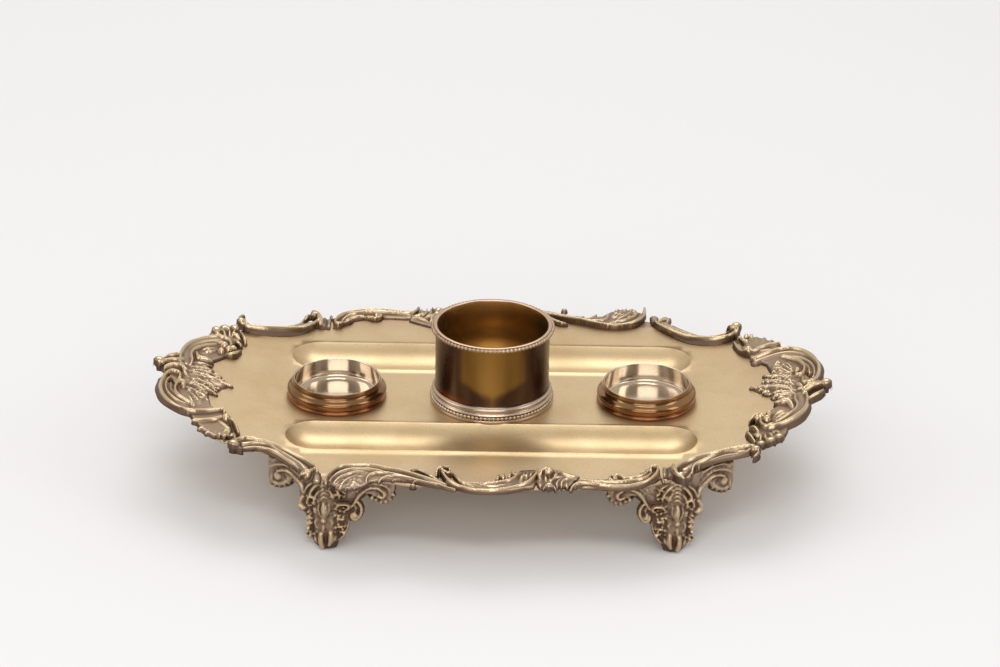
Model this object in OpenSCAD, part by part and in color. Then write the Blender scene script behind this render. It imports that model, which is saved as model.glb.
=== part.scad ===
// Silver-plated desk inkstand: a footed tray with a cast scroll-and-leaf border,
// two pressed pen troughs, a tall open gallery with beaded rims and two bottle collars.
// Origin under the middle of the tray, on the table. The front is towards -Y.

/* [Tray] */
// Length of the plan that the plate's edge and the border follow
tray_length = 310; // [300:1:330]
// Depth of the same plan
tray_depth = 196; // [190:1:210]
// Height of the tray's flat top above the table
tray_height = 36; // [32:0.5:42]
// Thickness of the pressed plate
plate_gauge = 1.2; // [0.8:0.1:1.8]
// Distance from the middle to where each end starts to sweep up
sweep_start = 84; // [80:1:92]
// Radius of the bend that turns each end up
sweep_radius = 80; // [60:1:140]
// Slope of the ends past that bend, in degrees
sweep_slope = 8.5; // [5:0.5:12]

/* [Pen troughs] */
// Length of a trough, measured over its round ends
trough_length = 185; // [160:1:190]
// Width of a trough at the tray's top
trough_width = 27.5; // [22:0.5:30]
// Depth of a trough
trough_depth = 5.5; // [4:0.25:8]
// Distance from the tray's middle line to the middle of a trough
trough_offset = 41.6; // [40:0.2:44]

/* [Gallery] */
// Outer radius of the gallery's wall
gallery_radius = 26; // [22:0.5:26.5]
// Thickness of that wall
gallery_gauge = 0.7; // [0.5:0.1:1.5]
// Height of the gallery above the tray
gallery_height = 37.3; // [28:0.1:46]
// Diameter of one bead of the beaded wires
bead_diameter = 1.8; // [1.4:0.1:2.2]
// Number of beads in each wire
bead_count = 90; // [60:1:92]
// Radius of the ring that the beads' middles lie on
bead_ring = 27.4; // [27:0.1:28.5]
// How far the upper row of beads lies under the gallery's top
bead_drop = 1.1; // [0.9:0.1:2]
// Height of the plain plinth under the lower row of beads
plinth_height = 1.5; // [0.8:0.1:2.5]

/* [Bottle collars] */
// Distance between the middles of the two collars
collar_spacing = 141.7; // [130:0.1:150]
// Radius inside a collar, which the bottle's foot fits
collar_bore = 19.2; // [16:0.1:21]
// Thickness of a collar's neck and lip
collar_gauge = 0.75; // [0.5:0.05:1.2]
// Height of a collar above the tray
collar_height = 9.3; // [7:0.1:14]
// How far the rounded base stands out past the bore
collar_bulge = 3.5; // [2.5:0.1:5]
// Height of the foot ring under the rounded base
collar_foot = 1.7; // [1:0.1:2.5]
// Thickness of the dished floor in a collar
collar_floor = 0.5; // [0.3:0.1:1]

/* [Border] */
// Height of the main scrolls above the plate, as a multiple of the drawn one
scroll_height = 1; // [0.7:0.05:1.4]
// Breadth of the scrolls, as a multiple of the drawn one
scroll_breadth = 1; // [0.85:0.05:1.1]
// How far the border hangs down over the plate's edge
border_hang = 1; // [0.4:0.1:2]

/* [Feet] */
// Distance from the middle to the toe of the front left and rear right feet
toe_x_leaf_side = 72.5; // [70:0.5:76]
// Distance from the tray's middle line to the fold of the same feet
toe_y_leaf_side = 80; // [78:0.5:82]
// Distance from the middle to the toe of the front right and rear left feet
toe_x_ribbon_side = 81.5; // [79:0.5:85]
// Distance from the tray's middle line to the fold of the same feet
toe_y_ribbon_side = 78; // [76:0.5:80]
// Thickness of a foot's wings
foot_gauge = 2.4; // [1.8:0.2:3.4]
// Length of each wing along the tray
wing_length = 33; // [31:0.5:36]
// Half breadth of a leg at its widest
leg_breadth = 14; // [12:0.5:15]
// Angle that the wing under the tray's corner turns back, in degrees
foot_corner_angle = 42; // [36:1:48]

/* [Hidden] */
$fn = 72;
silver = "#b9a98c";
tarnish = "#8b7960";
champagne = "#cbb287";
bronze = "#7a6650";

// The plan below is drawn for a tray of this size and moves with the set one.
drawn_length = 310;
drawn_depth = 196;
along = tray_length / drawn_length;
across = tray_depth / drawn_depth;
underside = tray_height - plate_gauge;
deep = 20;         // how far cutting solids reach past what they cut
trough_radius = (pow(trough_width / 2, 2) + pow(trough_depth, 2)) / (2 * trough_depth);
trough_axis = tray_height + trough_radius - trough_depth;
sweep_run = sweep_radius * sin(sweep_slope);
sweep_lift = sweep_radius * (1 - cos(sweep_slope));

// Height that the plate has gained at x, measured from the flat middle
function rise(x) = let (past = abs(x) - sweep_start)
    past <= 0 ? 0
    : past < sweep_run ? sweep_radius - sqrt(pow(sweep_radius, 2) - pow(past, 2))
    : sweep_lift + (past - sweep_run) * tan(sweep_slope);

// A smooth curve through hand-set points, with steps pieces between each pair
function between(a, b, c, d, t) =
    0.5 * (2 * b + (c - a) * t + (2 * a - 5 * b + 4 * c - d) * t * t
    + (3 * b - a - 3 * c + d) * t * t * t);
function smooth(p, steps) = let (last = len(p) - 1) [
    for (i = [0 : last - 1]) for (k = [0 : steps - 1])
        between(p[max(i - 1, 0)], p[i], p[i + 1], p[min(i + 2, last)], k / steps),
    p[last]
];

// Half of the plate's edge, from the front right corner round to the rear left one
half_edge = [
    [115, -59], [108, -60.5], [98, -63.5], [90, -70], [86, -78], [78, -81.5], [70, -85],
    [60, -88.5], [48, -88], [36, -90], [24, -90.5], [12, -91.5], [0, -93], [-12, -91.5],
    [-24, -89.5], [-36, -89], [-48, -86], [-62, -85.5], [-74, -84.5], [-84, -79.5],
    [-90, -70], [-98, -63.5], [-108, -60.5], [-115, -59], [-122, -56.5], [-129, -50],
    [-133, -41], [-141, -31.5], [-147, -21], [-148.5, -9], [-147, 3], [-143.5, 14],
    [-142, 24], [-136.5, 33.5], [-130.5, 42], [-128, 50.5], [-122, 56.5]
];
edge = [for (side = [1, -1]) for (p = half_edge) [p.x * along * side, p.y * across * side]];

module plate_outline() { polygon(edge); }

// The plate's section along X: flat, bent up at both ends, then straight
sweep_steps = [0 : sweep_slope / 4 : sweep_slope];
sweep_end = tray_length / 2 + deep;
half_section = concat(
    [for (a = sweep_steps) [sweep_start + sweep_radius * sin(a), sweep_radius * (1 - cos(a))]],
    [[sweep_end, rise(sweep_end)]]
);
module swept_slab(top, bottom) {
    upper = [for (p = half_section) [p.x, p.y + top]];
    lower = [for (i = [len(half_section) - 1 : -1 : 0]) half_section[i] + [0, bottom]];
    points = concat(upper, lower);
    rotate([90, 0, 0])
        linear_extrude(tray_depth + 2 * deep, center = true)
            polygon(concat(points, [for (i = [len(points) - 1 : -1 : 0]) [-points[i].x, points[i].y]]));
}

module trough_form(radius) {
    half = trough_length / 2 - trough_width / 2;
    translate([-half, 0, trough_axis]) rotate([0, 90, 0]) cylinder(r = radius, h = 2 * half);
    for (x = [-half, half]) translate([x, 0, trough_axis]) sphere(r = radius);
}

module tray() {
    color(champagne) difference() {
        union() {
            intersection() {
                translate([0, 0, underside - deep]) linear_extrude(3 * deep) plate_outline();
                swept_slab(tray_height, underside);
            }
            intersection() {
                for (s = [-1, 1]) translate([0, s * trough_offset, 0])
                    trough_form(trough_radius + plate_gauge);
                translate([-trough_length / 2 - deep, -tray_depth / 2, underside - deep])
                    cube([trough_length + 2 * deep, tray_depth, deep + plate_gauge / 2]);
            }
        }
        for (s = [-1, 1]) translate([0, s * trough_offset, 0]) trough_form(trough_radius);
    }
}

// What the border must stay clear of: the plate and the room under it
module plate_room() {
    intersection() {
        translate([0, 0, underside - deep]) linear_extrude(3 * deep) plate_outline();
        swept_slab(tray_height, tray_height - deep);
    }
}

// Gallery: a drawn cylinder on a moulded base, with a beaded wire at each end
bead = bead_diameter / 2;
base_bead_z = plinth_height + bead;
top_bead_z = gallery_height - bead_drop;
turned_out = 0.6;  // how far the wall's foot is turned outwards, inside
base_roll = 0.95;  // radius of the roll over the base beads, which stays outside the bore
module gallery_wall() {
    inner = gallery_radius - gallery_gauge;
    wire_out = bead_ring - inner;
    shoulder = base_bead_z + bead;
    color(tarnish) translate([0, 0, tray_height]) rotate_extrude() difference() {
        union() {
            translate([inner, 0]) square([gallery_gauge, gallery_height]);
            translate([inner, 0]) square([wire_out + bead * 0.8, plinth_height]);
            translate([inner, 0]) square([wire_out, shoulder]);
            polygon([[inner, shoulder], [bead_ring, shoulder], [bead_ring - 0.9, shoulder + 0.9],
                [inner, shoulder + 0.9]]);
            translate([gallery_radius + 0.35, shoulder + 2]) circle(r = base_roll);
            polygon([[inner, shoulder], [gallery_radius + 0.7, shoulder], [gallery_radius, shoulder + 4.2],
                [inner, shoulder + 4.2]]);
            translate([inner, top_bead_z - bead - 0.4]) square([wire_out - 0.3, bead_drop + bead + 0.4]);
        }
        for (z = [base_bead_z, top_bead_z]) translate([bead_ring, z]) circle(r = bead);
        polygon([[inner - turned_out, -turned_out], [inner + turned_out, -turned_out],
            [inner + turned_out, 0], [inner, turned_out], [inner - turned_out, turned_out]]);
    }
}
module beaded_wire(z) {
    color(silver) translate([0, 0, tray_height + z]) {
        rotate_extrude() translate([bead_ring, 0]) circle(r = bead * 0.76);
        for (i = [0 : bead_count - 1]) rotate(i * 360 / bead_count)
            translate([bead_ring, 0, 0]) sphere(r = bead);
    }
}

// Nine points round an arc, for a spun profile
function arc(centre, radius, from, to) = [for (i = [0 : 8])
    let (a = from + (to - from) * i / 8) centre + radius * [cos(a), sin(a)]];

// Bottle collar: a spun cup with a foot ring, a rounded base, a short neck and a rolled lip
module bottle_collar(side) {
    bulge = collar_height - collar_foot;
    rounded_base = smooth([[collar_bulge * 0.84, 0], [collar_bulge * 0.97, bulge * 0.14],
        [collar_bulge * 0.98, bulge * 0.34], [collar_bulge * 0.78, bulge * 0.54],
        [collar_bulge * 0.42, bulge * 0.66], [collar_gauge + 0.15, bulge * 0.8],
        [collar_gauge, bulge - collar_gauge]], 4);
    ring = collar_foot / 2;
    lip = collar_gauge / 2;
    color(champagne) translate([side * collar_spacing / 2, 0, tray_height]) rotate_extrude()
        polygon(concat([[0, 0]],
            arc([collar_bore + collar_bulge - ring, ring], ring, -90, 90),
            [for (p = rounded_base) [collar_bore + p.x, collar_foot + p.y]],
            arc([collar_bore + lip, collar_height - lip], lip, 0, 180),
            [[collar_bore, collar_floor], [0, collar_floor]]));
}

// Border: every spine point is [x, y, height over the plate, half breadth]
function seat_z(x) = tray_height + rise(x);
scroll_section = [[-1, 0], [-0.78, 0.96], [0, 0.6], [0.78, 0.96], [1, 0]];
rib_section = [[-1, 0], [-0.5, 0.95], [0.5, 0.95], [1, 0]];
module moulding(spine, steps, section = scroll_section) {
    path = smooth([for (p = spine) [p.x * along, p.y * across, p[2], p[3]]], steps);
    n = len(path);
    m = len(section);
    rings = [for (i = [0 : n - 1])
        let (p = path[i],
             ahead = path[min(i + 1, n - 1)] - path[max(i - 1, 0)],
             span = norm([ahead.x, ahead.y]),
             side = [-ahead.y, ahead.x] / span * p[3] * scroll_breadth,
             foot = seat_z(p.x) - border_hang)
        for (s = section) [
            p.x + side.x * s.x, p.y + side.y * s.x,
            foot + (s.y > 0 ? border_hang + p[2] * scroll_height * s.y : 0)
        ]];
    walls = [for (i = [0 : n - 2]) for (j = [0 : m - 1])
        let (a = i * m + j, b = i * m + (j + 1) % m)
        each [[a, b, b + m], [a, b + m, a + m]]];
    ends = [[for (j = [m - 1 : -1 : 0]) j], [for (j = [0 : m - 1]) (n - 1) * m + j]];
    polyhedron(points = rings, faces = concat(walls, ends), convexity = 8);
}

// One rounded lobe of leaf, bud or shell, from a to b, each [x, y, radius]
module lobe(a, b, lift = 0) {
    hull() for (p = [a, b])
        translate([p.x * along, p.y * across, seat_z(p.x * along) + lift - border_hang / 2])
            cylinder(r1 = p[2], r2 = p[2] * 0.45, h = p[2] * 0.8 * scroll_height + border_hang / 2, $fn = 5);
}
// A round knob, its middle held up by lift over the plate
module knob(x, y, radius, lift) {
    translate([x * along, y * across, seat_z(x * along)]) {
        translate([0, 0, lift * scroll_height]) sphere(r = radius, $fn = 8);
        translate([0, 0, -border_hang / 2]) cylinder(r = radius * 0.75, h = lift, $fn = 6);
    }
}
// Lobes that fan out from one point, each [angle, length, tip radius]
module fan(x, y, root, lobes, lift = 0) {
    for (l = lobes) lobe([x, y, root], [x + l[1] * cos(l[0]), y + l[1] * sin(l[0]), l[2]], lift);
}
// The sheet of metal that joins what stands on it and follows the plate's sweep
module web(points, height) {
    intersection() {
        translate([0, 0, underside]) linear_extrude(deep)
            polygon([for (p = points) [p.x * along, p.y * across]]);
        swept_slab(tray_height + height, tray_height - border_hang);
    }
}

module corner_form() {
    moulding([[119.5, -68, 3, 0.8], [121.5, -61.5, 4.4, 1.4], [119, -56, 5, 2.4], [111, -56, 5, 3.8],
        [104, -58, 5, 4.2], [97, -62, 5, 4.2], [90.5, -67.5, 5, 4.2], [86, -74.5, 5, 3.8],
        [84, -81, 4.4, 3.4], [83, -85, 2.6, 2.8]], 2);
    knob(116, -64.5, 4.4, 2.2);
    for (p = [[110, -65.5, 2.9, 0.6], [103, -67.5, 2.6, 0.4]])
        lobe([p.x, p.y, p[2]], [p.x - 1.5, p.y + 5.5, p[2] * 0.8], p[3]);
    for (p = [[97.5, -67.5], [92, -74], [89.5, -81]])
        lobe([p.x, p.y, 1.7], [p.x - 3, p.y + 3, 1.7], 0.5);
    lobe([81.5, -84, 2.4], [83, -80.5, 2.6], 2);
    lobe([86, -84.5, 2.2], [86, -80.5, 2.4], 1.6);
}
module left_corner_form() { mirror([1, 0, 0]) corner_form(); }

module leaf_scroll_form() {
    moulding([[-73.5, -90.5, 2, 1.5], [-72.5, -86, 3.8, 2.2], [-68.5, -80.5, 4.5, 2.4],
        [-62, -76.5, 4.6, 2.4], [-54, -75.5, 4.5, 2.3], [-45, -77.5, 4.3, 2.2], [-35, -82.5, 4, 2],
        [-26, -88.5, 3.6, 1.8], [-19, -93, 2.8, 1.4]], 2);
    moulding([[-67.5, -89.5, 2.2, 1], [-65, -84, 3, 1.4], [-58, -80.5, 3.3, 1.5],
        [-49, -81, 3.3, 1.5], [-39, -85.5, 3, 1.5], [-29, -91, 2.5, 1.2]], 1, rib_section);
    web([[-73, -89.5], [-70, -83], [-62, -78], [-50, -77], [-38, -82.5], [-20, -93.5],
        [-34, -93], [-44, -90], [-60, -89]], 1.4);
    for (p = [[-61, -82.5], [-51.5, -83], [-42, -86]])
        lobe([p.x, p.y, 2.1], [p.x - 3.8, p.y - 6, 1.9], 0.8);
    lobe([-27, -90.5, 1.5], [-33.5, -90, 1.6], 0.4);
    lobe([-33.5, -90, 1.4], [-35, -95.5, 2], 0.2);
}

module centre_scroll_form() {
    moulding([[-18.2, -82.5, 2.6, 0.8], [-18, -77.8, 3.2, 1], [-20.8, -75.6, 3.8, 1.3],
        [-23.6, -78.5, 4, 1.7], [-22, -85, 4.2, 2.3], [-17, -90.5, 4.2, 2.8], [-9, -94.3, 4.2, 3.1],
        [0, -95.4, 4.2, 3.2], [9, -94, 4.2, 3], [15.5, -89.5, 4.1, 2.4], [19.3, -83, 3.9, 1.8],
        [21, -77, 3.2, 1.1]], 2);
    moulding([[-17, -83.5, 2.2, 0.9], [-12, -88.5, 2.8, 1.2], [-4, -90.8, 3, 1.4],
        [4, -90.3, 3, 1.3], [10, -87.5, 2.8, 1.1], [14.5, -82.5, 2.2, 0.9]], 1, rib_section);
    web([[-18.5, -84], [-9, -88.5], [3, -90], [12, -86.5], [17, -82], [17, -90], [0, -95], [-15, -91]], 1.4);
    for (p = [[4, -89, 3.2], [8, -87, 4], [12, -84.5, 4.6]])
        lobe([p.x, p.y, 1.2], [p.x + 1, p.y + p[2], 1.4], 0.4);
    for (x = [-11, 0, 11])
        lobe([x, -98.4 + x * x / 90, 1.4], [x, -94 + x * x / 90, 1.6], 0.6);
}

module ribbon_scroll_form() {
    moulding([[35.5, -96, 2.2, 1.1], [36, -91.3, 3.6, 1.8], [40.5, -88.8, 4.1, 2.4],
        [47, -89.3, 4.2, 2.8], [54, -91.5, 4.3, 3], [61, -91.3, 4.4, 3.1], [67.5, -87.5, 4.6, 3],
        [72, -81, 4.8, 2.4], [73.6, -75.5, 4.7, 1.7], [71.6, -73.2, 4.2, 1.2], [69.6, -76, 3.6, 0.9],
        [69.8, -79.5, 3, 0.8]], 2);
    moulding([[41, -84.8, 2.2, 0.9], [49, -85.8, 2.8, 1.1], [57, -86, 3, 1.2],
        [63.5, -83.5, 3, 1.1], [67.5, -79.5, 2.6, 0.9]], 1, rib_section);
    for (x = [53.5, 57]) lobe([x, -80.3, 1.8], [x - 1, -85.5, 1.2], 0.5);
    lobe([66.5, -77, 1.4], [67.5, -83, 1.5], 0.4);
    for (x = [40, 45, 51]) lobe([x, -94.5 + (x - 39) * 0.08, 1.4], [x + 1, -90, 1.8], 0.4);
}

module bud_spray_form() {
    for (p = [[21.5, -79.5, 1.5], [24.2, -76.3, 1.9], [27.2, -79, 1.5]])
        lobe([p.x, p.y, p[2]], [24.5, -83, 1.6], 1.2);
    lobe([24.5, -83, 1.9], [24.8, -91, 1.8], 1.6);
    lobe([24.8, -91.5, 2.1], [25.2, -96.5, 2.3], 1.2);
    for (p = [[29, 85.5, 96], [33.2, 86.5, 96.6]]) lobe([p.x + 0.6, -p.y, 1.6], [p.x, -p[2], 1.7], 0.9);
    lobe([21.6, -86, 1.5], [21.2, -95, 1.6], 1);
    lobe([28.5, -83, 1.3], [36, -82.6, 1], 0.6);
    web([[21, -84], [28, -83], [36, -83.5], [36, -93.5], [21, -93.5]], 1.6);
}

module end_mount_form() {
    // Broad C-scroll round the front of the end
    moulding([[-143.5, -9.5, 2.4, 1], [-145, -4.5, 3.2, 1.4], [-148.4, -3.8, 3.4, 1.9],
        [-150.4, -10, 3.4, 2.7], [-149.6, -18.5, 3.4, 3.3], [-145.4, -27.5, 3.8, 3.6],
        [-138.5, -34.2, 4.2, 3.6], [-130.5, -36.6, 4.6, 3.2], [-122, -34.2, 4.8, 2.6]], 2);
    moulding([[-142, -11, 2.6, 1.2], [-141.2, -19, 3.2, 1.5], [-137, -25.5, 3.4, 1.6],
        [-130.5, -28.5, 3.4, 1.4], [-126, -27.5, 3, 1]], 1, rib_section);
    // Ribbon that rises from the knob and rolls into a volute
    moulding([[-145, 8, 4, 2.2], [-144, 16, 3.8, 3], [-141.8, 26, 3.8, 3.5],
        [-137, 34.6, 4, 3.7], [-130, 38.2, 4.4, 3.3], [-123.8, 35.4, 4.8, 2.5], [-122.6, 29.4, 4.8, 1.8],
        [-126, 24.8, 4.9, 1.5], [-131, 25.2, 5.1, 1.3], [-132, 29.2, 5.2, 1.1]], 2);
    // Fluted knob
    knob(-151, 3.5, 4.8, 4);
    for (t = [-1, 0, 1])
        lobe([-149.5 + t * 2, 6 + t * 1.6, 3], [-145.5 + t * 1.2, 15 - t, 2], 2);
    // Acanthus leaf that lies inwards over the plate
    for (t = [-2 : 2]) lobe([-140, t * 3.6 - 2, 2.2], [-121.5 - abs(t) * 3.4, t * 6.6 - 1.5, 1.2], 0.8);
    // Scalloped shells at both ends of the mount
    fan(-126, 44.5, 3, [[24, 6, 1.8], [74, 11, 2.2], [108, 12.8, 2.6], [150, 9.2, 2.3]], 1.2);
    fan(-125.5, -46.5, 3, [[-24, 6, 1.8], [-78, 11.4, 2.2], [-110, 13.2, 2.6], [-150, 9.5, 2.3]], 1.2);
    web([[-144, -12], [-149, -8], [-149.5, -19], [-144, -30], [-137, -36], [-134, -43], [-130, -51],
        [-124, -58], [-118, -55], [-117, -42], [-121.5, -32], [-127, -26], [-125, -15], [-120, -2],
        [-124.5, 11], [-129, 19], [-122.5, 27], [-121.5, 36], [-118, 44], [-118, 53], [-124, 57],
        [-131, 52], [-133.5, 42], [-140, 31], [-143.5, 20], [-146, 8], [-150, 4], [-147, -2]], 1.6);
}

// A piece of border as it is fitted: seated on the plate, and against its neighbours
module fitted(turn) {
    color(silver) rotate(turn) difference() {
        children(0);
        if ($children > 1) children([1 : $children - 1]);
        plate_room();
    }
}

// Feet: each is a bracket folded along its leg, with a wing under the tray on each side.
// Points in a wing are [distance from the fold, height].
boss = [wing_length - 6, tray_height - 9.5];
boss_radius = 4.6;
knee = [leg_breadth - 0.5, 17];
leg_levels = [[0, 0.24, 4.6], [2.5, 0.42, 5.4], [6, 0.6, 5], [11, 0.8, 4.8], [17, 1, 5.8],
    [24, 1, 4.8], [tray_height, 0.7, 3.6]];
module wing() {
    arch = smooth([[knee.x + 1, knee.y + 2.5], [knee.x + 1.8, tray_height - 11.5],
        [knee.x + 4.6, tray_height - 7.4], [boss.x - 3.5, tray_height - 6.6]], 2);
    rotate([90, 0, 0]) {
        linear_extrude(foot_gauge) {
            polygon(concat([[0, knee.y - 4], [knee.x, knee.y]], arch,
                [[wing_length - 1.5, boss.y - 2], [wing_length, boss.y + 1],
                [wing_length + 0.6, tray_height], [0, tray_height]]));
            translate(boss) circle(r = boss_radius, $fn = 12);
            translate(knee) circle(r = 3, $fn = 8);
        }
        raised_band([[knee.x - 1.5, knee.y + 3, 0.7], [knee.x + 0.4, tray_height - 11.8, 1],
            [knee.x + 3.4, tray_height - 6.6, 1.3], [boss.x - 4, tray_height - 4.8, 1.4],
            [boss.x + 1.5, tray_height - 5.6, 1.4], [boss.x + 3.4, boss.y, 1.1],
            [boss.x + 2.4, boss.y - 2.6, 0.8]]);
        for (p = [boss, knee])
            stud([p.x, p.y, foot_gauge - 0.4], [p.x, p.y, foot_gauge + 0.2], 2.2);
    }
}
// A raised band along a wing's face, its points [distance, height, half breadth]
module raised_band(points) {
    n = len(points);
    sides = [for (i = [0 : n - 1])
        let (ahead = points[min(i + 1, n - 1)] - points[max(i - 1, 0)])
        [-ahead.y, ahead.x] / norm([ahead.x, ahead.y]) * points[i][2]];
    linear_extrude(foot_gauge + 1.1) polygon(concat(
        [for (i = [0 : n - 1]) [points[i].x, points[i].y] + sides[i]],
        [for (i = [n - 1 : -1 : 0]) [points[i].x, points[i].y] - sides[i]]));
}
module stud(a, b, radius) {
    hull() {
        translate(a) cylinder(r1 = radius * 0.6, r2 = radius, h = radius * 0.7, $fn = 5);
        translate(b) cylinder(r1 = radius, r2 = radius * 0.5, h = radius * 0.8, $fn = 5);
    }
}
// The leg itself, lofted through V-shaped sections, with a rounded fold at the front
module leg() {
    turn = foot_corner_angle;
    right = [1, 0];
    left = [-cos(turn), sin(turn)];
    front = -(right + left) / norm(right + left);
    out = [-sin(turn), -cos(turn)];
    rings = [for (l = leg_levels)
        let (w = l[1] * leg_breadth, edge_in = foot_gauge - 0.45, swell = foot_gauge + 1.35)
        for (p = [[w, 0.35], [1.2, 1], left * w - out * 0.35, left * (w + 0.7) + out * edge_in,
                left * w * 0.5 + out * swell, front * l[2],
                right * w * 0.5 - [0, swell], [w + 0.7, -edge_in]]) [p.x, p.y, l[0]]];
    n = len(leg_levels);
    walls = [for (i = [0 : n - 2]) for (j = [0 : 7])
        let (a = i * 8 + j, b = i * 8 + (j + 1) % 8) each [[a, b + 8, b], [a, a + 8, b + 8]]];
    ends = [[for (j = [0 : 7]) j], [for (j = [7 : -1 : 0]) (n - 1) * 8 + j]];
    polyhedron(points = rings, faces = concat(walls, ends), convexity = 6);
}
module foot_form() {
    turn = foot_corner_angle;
    wing();
    rotate(-turn) mirror([1, 0, 0]) wing();
    leg();
    // Toe lobes, cabochon and leaf ribs on the leg
    stud([-1.6, -4.6, 1.6], [-1.4, -4.4, 5.5], 2.2);
    stud([2.4, -3.6, 1.6], [3.4, -3, 4], 1.8);
    stud([-4.6, -1.8, 1.6], [-5, -1.6, 4], 1.8);
    stud([-1.8, -5.2, 16], [-1.8, -5, 20.5], 2);
    stud([7, -3.6, 21], [11, -3, 25], 1.3);
    rotate(-turn) mirror([1, 0, 0]) stud([7, -3.6, 21], [11, -3, 25], 1.3);
}
module foot(turn, side, toe_x, toe_y) {
    color(bronze) rotate(turn) difference() {
        translate([side * toe_x * along, -toe_y * across, 0]) mirror([side > 0 ? 1 : 0, 0, 0]) foot_form();
        swept_slab(tray_height + deep, underside);
        translate([-tray_length, -tray_depth, -deep]) cube([2 * tray_length, 2 * tray_depth, deep]);
    }
}

tray();
gallery_wall();
beaded_wire(top_bead_z);  // gallery_top_beads
beaded_wire(base_bead_z);  // gallery_base_beads
bottle_collar(-1);  // left_bottle_collar
bottle_collar(1);  // right_bottle_collar
fitted(0) left_corner_form();  // front_left_corner_scroll
fitted(0) corner_form();  // front_right_corner_scroll
fitted(180) corner_form();  // rear_left_corner_scroll
fitted(180) left_corner_form();  // rear_right_corner_scroll
fitted(0) { leaf_scroll_form(); left_corner_form(); }  // front_leaf_scroll
fitted(180) { leaf_scroll_form(); left_corner_form(); }  // rear_leaf_scroll
fitted(0) { centre_scroll_form(); leaf_scroll_form(); }  // front_centre_scroll
fitted(180) { centre_scroll_form(); leaf_scroll_form(); }  // rear_centre_scroll
fitted(0) { bud_spray_form(); centre_scroll_form(); ribbon_scroll_form(); }  // front_bud_spray
fitted(180) { bud_spray_form(); centre_scroll_form(); ribbon_scroll_form(); }  // rear_bud_spray
fitted(0) { ribbon_scroll_form(); corner_form(); }  // front_ribbon_scroll
fitted(180) { ribbon_scroll_form(); corner_form(); }  // rear_ribbon_scroll
fitted(0) { end_mount_form(); left_corner_form(); rotate(180) corner_form(); }  // left_end_mount
fitted(180) { end_mount_form(); left_corner_form(); rotate(180) corner_form(); }  // right_end_mount
foot(0, -1, toe_x_leaf_side, toe_y_leaf_side);  // front_left_foot
foot(0, 1, toe_x_ribbon_side, toe_y_ribbon_side);  // front_right_foot
foot(180, 1, toe_x_ribbon_side, toe_y_ribbon_side);  // rear_left_foot
foot(180, -1, toe_x_leaf_side, toe_y_leaf_side);  // rear_right_foot
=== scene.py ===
"""Looks of the desk inkstand: tray, gallery, bottle collars, cast border and feet.

The border and the feet are cast reliefs. Each is drawn as ridges, balls and hollows over
a plan in millimetres, turned into a closed mesh and laid on the plate or the bent foot.
"""
import math

import bpy
import numpy as np
from mathutils import Matrix, Vector, geometry


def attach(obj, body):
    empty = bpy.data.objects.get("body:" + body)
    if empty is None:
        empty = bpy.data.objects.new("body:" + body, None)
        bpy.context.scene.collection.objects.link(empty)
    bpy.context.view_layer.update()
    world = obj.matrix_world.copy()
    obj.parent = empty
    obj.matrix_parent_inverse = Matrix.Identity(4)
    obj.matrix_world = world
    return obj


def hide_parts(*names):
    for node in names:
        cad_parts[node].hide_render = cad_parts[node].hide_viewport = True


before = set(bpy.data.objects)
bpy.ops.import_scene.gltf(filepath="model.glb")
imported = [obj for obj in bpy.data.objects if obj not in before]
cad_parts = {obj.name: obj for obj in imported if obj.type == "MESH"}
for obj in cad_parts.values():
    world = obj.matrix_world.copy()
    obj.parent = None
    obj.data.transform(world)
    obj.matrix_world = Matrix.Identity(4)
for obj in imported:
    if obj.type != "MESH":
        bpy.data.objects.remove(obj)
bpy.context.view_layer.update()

MM = 0.001
TRAY_TOP = 36.0
SWEEP_START, SWEEP_RADIUS, SWEEP_SLOPE = 84.0, 80.0, math.radians(8.5)
CELL = 0.36
SPUN_STEPS = 240
PATH_STEP = 0.8  # along a ridge or a hollow
THINNEST = 0.12  # half breadth that a ridge keeps at least
MARGIN = 2.2  # round a ridge, where its cover is still worked out
SOFTEN = 0.7  # cells that a relief is smoothed over
RELIEF_REACH = 1.3  # how far round a spot its surroundings lie, for its crests (worn bright, with a painted highlight) and its hollows (patina, with painted shade)


def rise(x):
    """Height that the plate has gained at x over its flat middle."""
    past = np.clip(np.abs(x) - SWEEP_START, 0, None)
    run = SWEEP_RADIUS * math.sin(SWEEP_SLOPE)
    bent = SWEEP_RADIUS - np.sqrt(SWEEP_RADIUS**2 - np.minimum(past, run) ** 2)
    return bent + np.clip(past - run, 0, None) * math.tan(SWEEP_SLOPE)


# Meshes


def mesh_object(name, verts, faces, values=None, smooth=True):
    """A piece whose place is in its vertices, given in millimetres."""
    mesh = bpy.data.meshes.new(name)
    verts = np.asarray(verts, float) * MM
    faces = [np.asarray(f, int) for f in faces if len(f)]
    mesh.vertices.add(len(verts))
    mesh.vertices.foreach_set("co", verts.ravel())
    loops = np.concatenate([f.ravel() for f in faces])
    sizes = np.concatenate([np.full(len(f), f.shape[1]) for f in faces])
    mesh.loops.add(len(loops))
    mesh.loops.foreach_set("vertex_index", loops)
    mesh.polygons.add(len(sizes))
    mesh.polygons.foreach_set("loop_start", np.concatenate([[0], np.cumsum(sizes)[:-1]]))
    mesh.polygons.foreach_set("use_smooth", np.full(len(sizes), smooth))
    if values is not None:
        layer = mesh.attributes.new("relief", "FLOAT", "POINT")
        layer.data.foreach_set("value", np.asarray(values, np.float32))
    mesh.update(calc_edges=True)
    mesh.validate()
    piece = bpy.data.objects.new(name, mesh)
    bpy.context.scene.collection.objects.link(piece)
    return piece


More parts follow.
